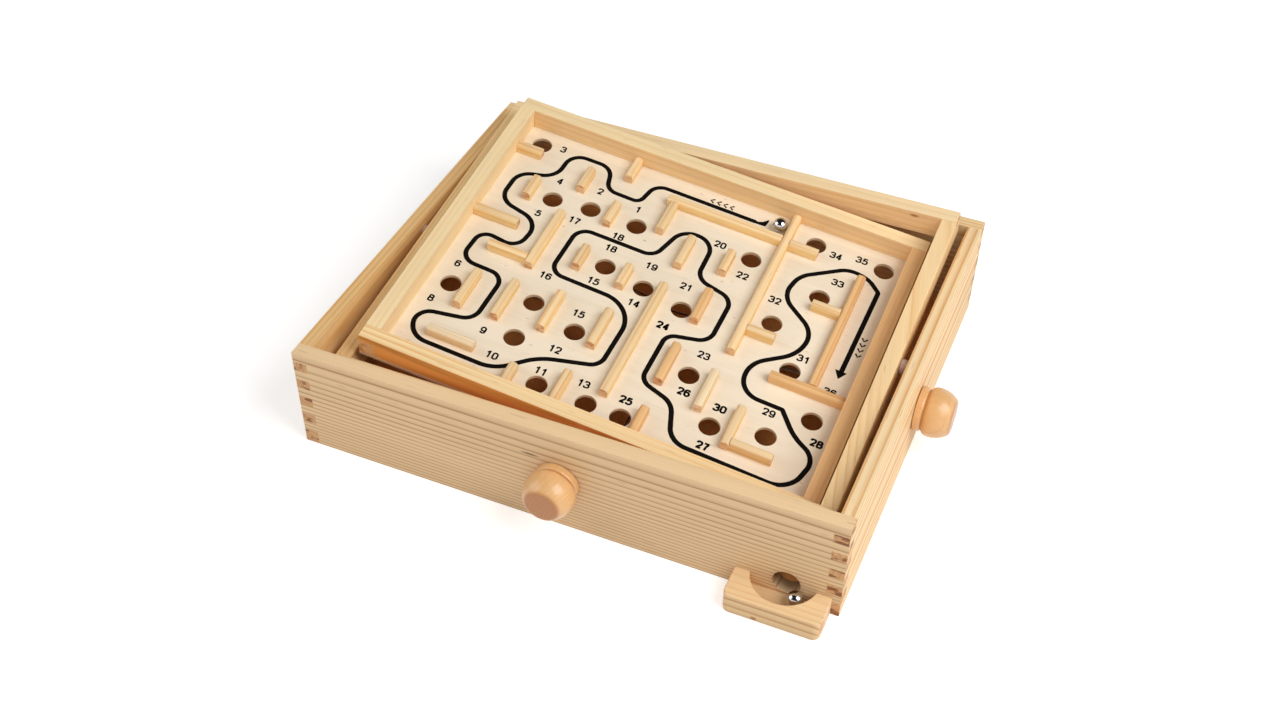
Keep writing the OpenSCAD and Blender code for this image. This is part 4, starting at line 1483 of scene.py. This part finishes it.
@dataclass
class TiltCord:
    """A cord from eye to eye, wound round a shaft between them.

    Side is the way it winds. Each run is cut into one length for each pair of bodies in links, with the cuts
    over the first share of its length, the grip. The knot is a row of places and radii in millimetres.
    """

    node: str
    eyes: str
    holder: Body
    shaft: str
    along: Array
    side: int
    links: Sequence[Tuple[Body, Body]]
    radius: float = 0.4 * MM
    wind: float = 1.85 * MM
    turns: int = 3
    pitch: float = 1.25 * MM
    sides: int = 12
    eye_height: float = 2.2 * MM
    grip: float = 0.28
    turn_steps: int = 40
    run_steps: int = 24
    smooth_below: float = 60.0
    knot: Sequence[Point] = ((0.5, 0.4), (0.75, 1.0), (1.1, 1.25), (1.5, 1.25), (1.9, 1.05), (2.15, 0.6))

    def piece(self, name: str, path: Array, radii: Array, normal: Array) -> Piece:
        """A length of cord with a map of its strands: turn along U and length along V.

        Args:
            name: name of the piece.
            path: its middle line.
            radii: radius at each point.
            normal: a direction that is never along the path.

        Returns:
            The new object.
        """
        shell = Shell()
        shell.add_loft(tube_rings(path, radii, normal, self.sides))
        piece = shell.piece(name, self.smooth_below)
        length = np.concatenate([[0], np.cumsum(np.linalg.norm(np.diff(path, axis=0), axis=1))])
        rows, columns = np.meshgrid(np.arange(len(path) - 1), np.arange(self.sides), indexing="ij")
        around = np.stack([columns, columns + 1, columns + 1, columns], -1) / self.sides
        run = np.stack([length[rows], length[rows], length[rows + 1], length[rows + 1]], -1)
        plan = np.concatenate([np.stack([around, run], -1).reshape(-1, 2), np.zeros((2 * self.sides, 2))])
        layer = piece.data.uv_layers.new(name="strand")
        layer.data.foreach_set("uv", plan.astype(np.float32).reshape(-1))
        return piece

    def build(self) -> None:
        """Makes the winding, which stays with the box, and a run to each eye."""
        finish = CordFinish().dress(self.node + "_twist")
        up = np.array([0.0, 0.0, 1.0])
        across = np.cross(up, self.along)
        eyes = []
        for low, high in islands(self.eyes, AXES[self.holder]):
            middle = np.append((low + high)[:2] / 2, low[2] + self.eye_height)
            eyes.append(AXES[self.holder].to_row(middle))
        eyes.sort(key=lambda eye: float(eye @ across))
        hub = joint_vector(self.shaft, "pos_m")
        hub = hub + self.along * float(((eyes[0] + eyes[1]) / 2 - hub) @ self.along)
        leave = []
        for eye, way in zip(eyes, (-self.side, self.side)):
            flat = np.array([(eye - hub) @ across, (eye - hub) @ up])
            angle = math.atan2(flat[1], flat[0]) + way * math.acos(self.wind / np.linalg.norm(flat))
            leave.append(angle % FULL_TURN)
        end = leave[1] - self.side * FULL_TURN * self.turns
        turn = np.linspace(leave[0], end, self.turn_steps * self.turns + 1)
        shift = np.linspace(-0.5, 0.5, len(turn)) * self.pitch * self.turns
        coil = hub + self.wind * circle(turn, across, up) + shift[:, None] * self.along
        winding = self.piece(self.node + "_winding", coil, np.full(len(coil), self.radius), self.along)
        seat(winding, Body.BOX, "cord", finish, self.node)
        for k, (start, eye) in enumerate(((coil[0], eyes[0]), (coil[-1], eyes[1]))):
            self.add_run(f"{self.node}_run_{k + 1}", start, eye, finish)

    def add_run(self, name: str, start: Array, eye: Array, finish: Material) -> None:
        """Makes a straight run from the winding to the knot behind an eye, in one length for each link.

        Args:
            name: first part of the pieces' names.
            start: where the run leaves the winding.
            eye: middle of the screw eye.
            finish: the cord's material.
        """
        ahead = (eye - start) / np.linalg.norm(eye - start)
        knot = np.array(self.knot) * MM
        bounds = np.linspace(0, self.grip, len(self.links) + 1)
        for k, (first, second) in enumerate(self.links):
            last = k == len(self.links) - 1
            share = np.linspace(bounds[k], 1.0 if last else bounds[k + 1], self.run_steps)
            path, radii = start + share[:, None] * (eye - start), np.full(self.run_steps, self.radius)
            if last:
                path = np.concatenate([path, eye + knot[:, :1] * ahead])
                radii = np.concatenate([radii, knot[:, 1]])
            piece = self.piece(f"{name}_{k + 1}", path, radii, self.along)
            piece.data.materials.append(finish)
            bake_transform(piece)
            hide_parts(self.node)
            LOG.info("%s bends between %s and %s", piece.name, first.value, second.value)


@dataclass
class Studio:
    """The floor, the light and the camera at the photograph's place."""

    azimuth: float = 22.374
    elevation: float = 42.685
    roll: float = -0.952
    offset: Triple = (7.874, 3.778, 893.61)
    aim: float = 2.5
    focal: float = 1579.693
    image_width: float = 1280.0
    sensor: float = 36.0
    clip: Point = (0.01, 50.0)
    ambient: float = 0.24
    floor_glow: float = 0.45
    glow_reach: Point = (0.4, 1.4)
    floor_half: float = 6.0
    ceiling_half: float = 4.0
    ceiling_height: float = 2.4
    white: Colour = srgb(255, 255, 255)
    floor_grey: Colour = (0.82, 0.82, 0.82, 1.0)
    ceiling_light: Colour = srgb(40, 38, 36)
    ceiling_dark: Colour = srgb(30, 29, 28)
    lamp_aim: Triple = (0.0, 0.0, 0.04)
    lamp_side: float = 1.0
    lamps: Sequence[Tuple[str, Triple, float, bool]] = (
        ("softbox_right", (1.0, -0.2, 1.1), 16.5, True),
        ("softbox_left", (-1.13, -0.55, 0.85), 5.6, True),
        ("front_fill", (0.35, -1.4, 1.0), 5.4, False),
    )

    def camera(self) -> None:
        """Puts the camera where the photograph's perspective places it.

        The camera looks along its azimuth and elevation at a point above the middle of the box's foot, turned
        by its roll and moved by its offset in millimetres to the right, down and back.
        """
        a, e, r = (math.radians(v) for v in (self.azimuth, self.elevation, self.roll))
        ahead = -np.array([math.sin(a) * math.cos(e), -math.cos(a) * math.cos(e), math.sin(e)])
        right = np.array([math.cos(a), math.sin(a), 0.0])
        down = np.cross(ahead, right)
        right, down = (math.cos(r) * right + math.sin(r) * down, math.cos(r) * down - math.sin(r) * right)
        offset = np.array([right, down, ahead]).T @ np.array(self.offset)
        data = bpy.data.cameras.new("photo_camera")
        data.sensor_width = self.sensor
        data.lens = self.focal / self.image_width * self.sensor
        data.clip_start, data.clip_end = self.clip
        camera = bpy.data.objects.new("photo_camera", data)
        bpy.context.scene.collection.objects.link(camera)
        turn = np.eye(4)
        turn[:3, :3] = np.array([right, -down, -ahead]).T
        turn[:3, 3] = AXES[Body.BOX].origin + (np.array([0, 0, self.aim]) - offset) * MM
        camera.matrix_world = Matrix(turn.tolist())
        bpy.context.scene.camera = camera

    def lamp(self, name: str, place: Triple, power: float, mirrored: bool) -> None:
        """Adds a square soft light that faces the middle of the box.

        Args:
            name: name of the light.
            place: its place in metres.
            power: its power in watts.
            mirrored: whether gloss shows it.
        """
        data = bpy.data.lights.new(name, "AREA")
        data.size, data.energy, data.color = self.lamp_side, power, self.white[:3]
        lamp = bpy.data.objects.new(name, data)
        lamp.location = place
        lamp.rotation_euler = (Vector(self.lamp_aim) - Vector(place)).to_track_quat("-Z", "Y").to_euler()
        lamp.visible_glossy = mirrored
        bpy.context.scene.collection.objects.link(lamp)

    def sheet(self, name: str, half: float, height: float, material: Material) -> Piece:
        """A level square of the stage.

        Args:
            name: name of the sheet.
            half: half of its side, in metres.
            height: its height, in metres.
            material: its finish.

        Returns:
            The new object.
        """
        corners = np.array([[-1, -1, 0], [1, -1, 0], [1, 1, 0], [-1, 1, 0]]) * half + [0, 0, height]
        shell = Shell()
        shell.add(corners, [[0, 1, 2, 3]])
        piece = shell.piece(name)
        piece.data.materials.append(material)
        return piece

    def floor(self) -> None:
        """A wide pale floor that is white to the camera, more so farther out, and keeps the shadow."""
        g = Graph(bpy.data.materials.new("studio_floor"))
        level = g.fade(g.length(g.place()), *self.glow_reach, self.floor_glow, 1.0)
        glow = g.add("Emission", {"Strength": g.product(self.seen_ray(g), level)})
        matt = g.add("BsdfDiffuse", {"Color": self.floor_grey})
        g.add("OutputMaterial", {0: g.add("AddShader", {0: glow, 1: matt})})
        self.sheet("studio_floor", self.floor_half, 0.0, g.owner)

    def ceiling(self) -> None:
        """A dark ceiling that only mirrors and gloss show, as the balls in the photograph do."""
        dark = MattFinish(self.ceiling_light, self.ceiling_dark, grain=3.0).dress("dark_ceiling")
        piece = self.sheet("studio_ceiling", self.ceiling_half, self.ceiling_height, dark)
        piece.visible_camera = piece.visible_diffuse = False
        piece.visible_shadow = piece.visible_transmission = False

    def seen_ray(self, g: Graph) -> Any:
        """1 on rays from the camera, in mirrors and through glass.

        Args:
            g: node tree to add to.

        Returns:
            The value's socket.
        """
        rays = [g.add("LightPath", {}, f"Is {kind} Ray") for kind in ("Camera", "Glossy", "Transmission")]
        return g.math("MAXIMUM", g.math("MAXIMUM", rays[0], rays[1]), rays[2])

    def surround(self) -> None:
        """White surroundings that light the object at the ambient level."""
        world = bpy.data.worlds.new("studio")
        bpy.context.scene.world = world
        g = Graph(world)
        level = g.fade(self.seen_ray(g), 0.0, 1.0, self.ambient, 1.0)
        g.add("OutputWorld", {0: g.add("Background", {"Color": self.white, "Strength": level})})

    def build(self) -> None:
        """Makes the floor, the light and the camera."""
        bpy.context.scene.view_settings.view_transform = "Standard"
        self.camera()
        self.floor()
        self.ceiling()
        self.surround()
        for lamp in self.lamps:
            self.lamp(*lamp)


def main() -> None:
    """Builds every sub-assembly in order and reports its pieces."""
    logging.basicConfig(level=logging.INFO, format="%(message)s")
    right, front = np.array([1.0, 0.0, 0.0]), np.array([0.0, -1.0, 0.0])
    box_ring, ring_board = (Body.BOX, Body.RING), (Body.RING, Body.BOARD)
    for part in (
        Studio(),
        BoxShell(),
        TiltRails(),
        MazeBoard(),
        BoardPrint(),
        MazeStrips(),
        KnobUnit("right_knob", Body.RIGHT_KNOB, right),
        KnobUnit("front_knob", Body.FRONT_KNOB, front),
        SteelBalls(),
        Hardware(),
        TiltCord("ring_cord", "ring_eyes", Body.RING, "right_knob_turn", right, -1, (box_ring,)),
        TiltCord("frame_cord", "frame_eyes", Body.BOARD, "front_knob_turn", front, 1, (box_ring, ring_board)),
    ):
        part.build()


if __name__ == "__main__":
    main()
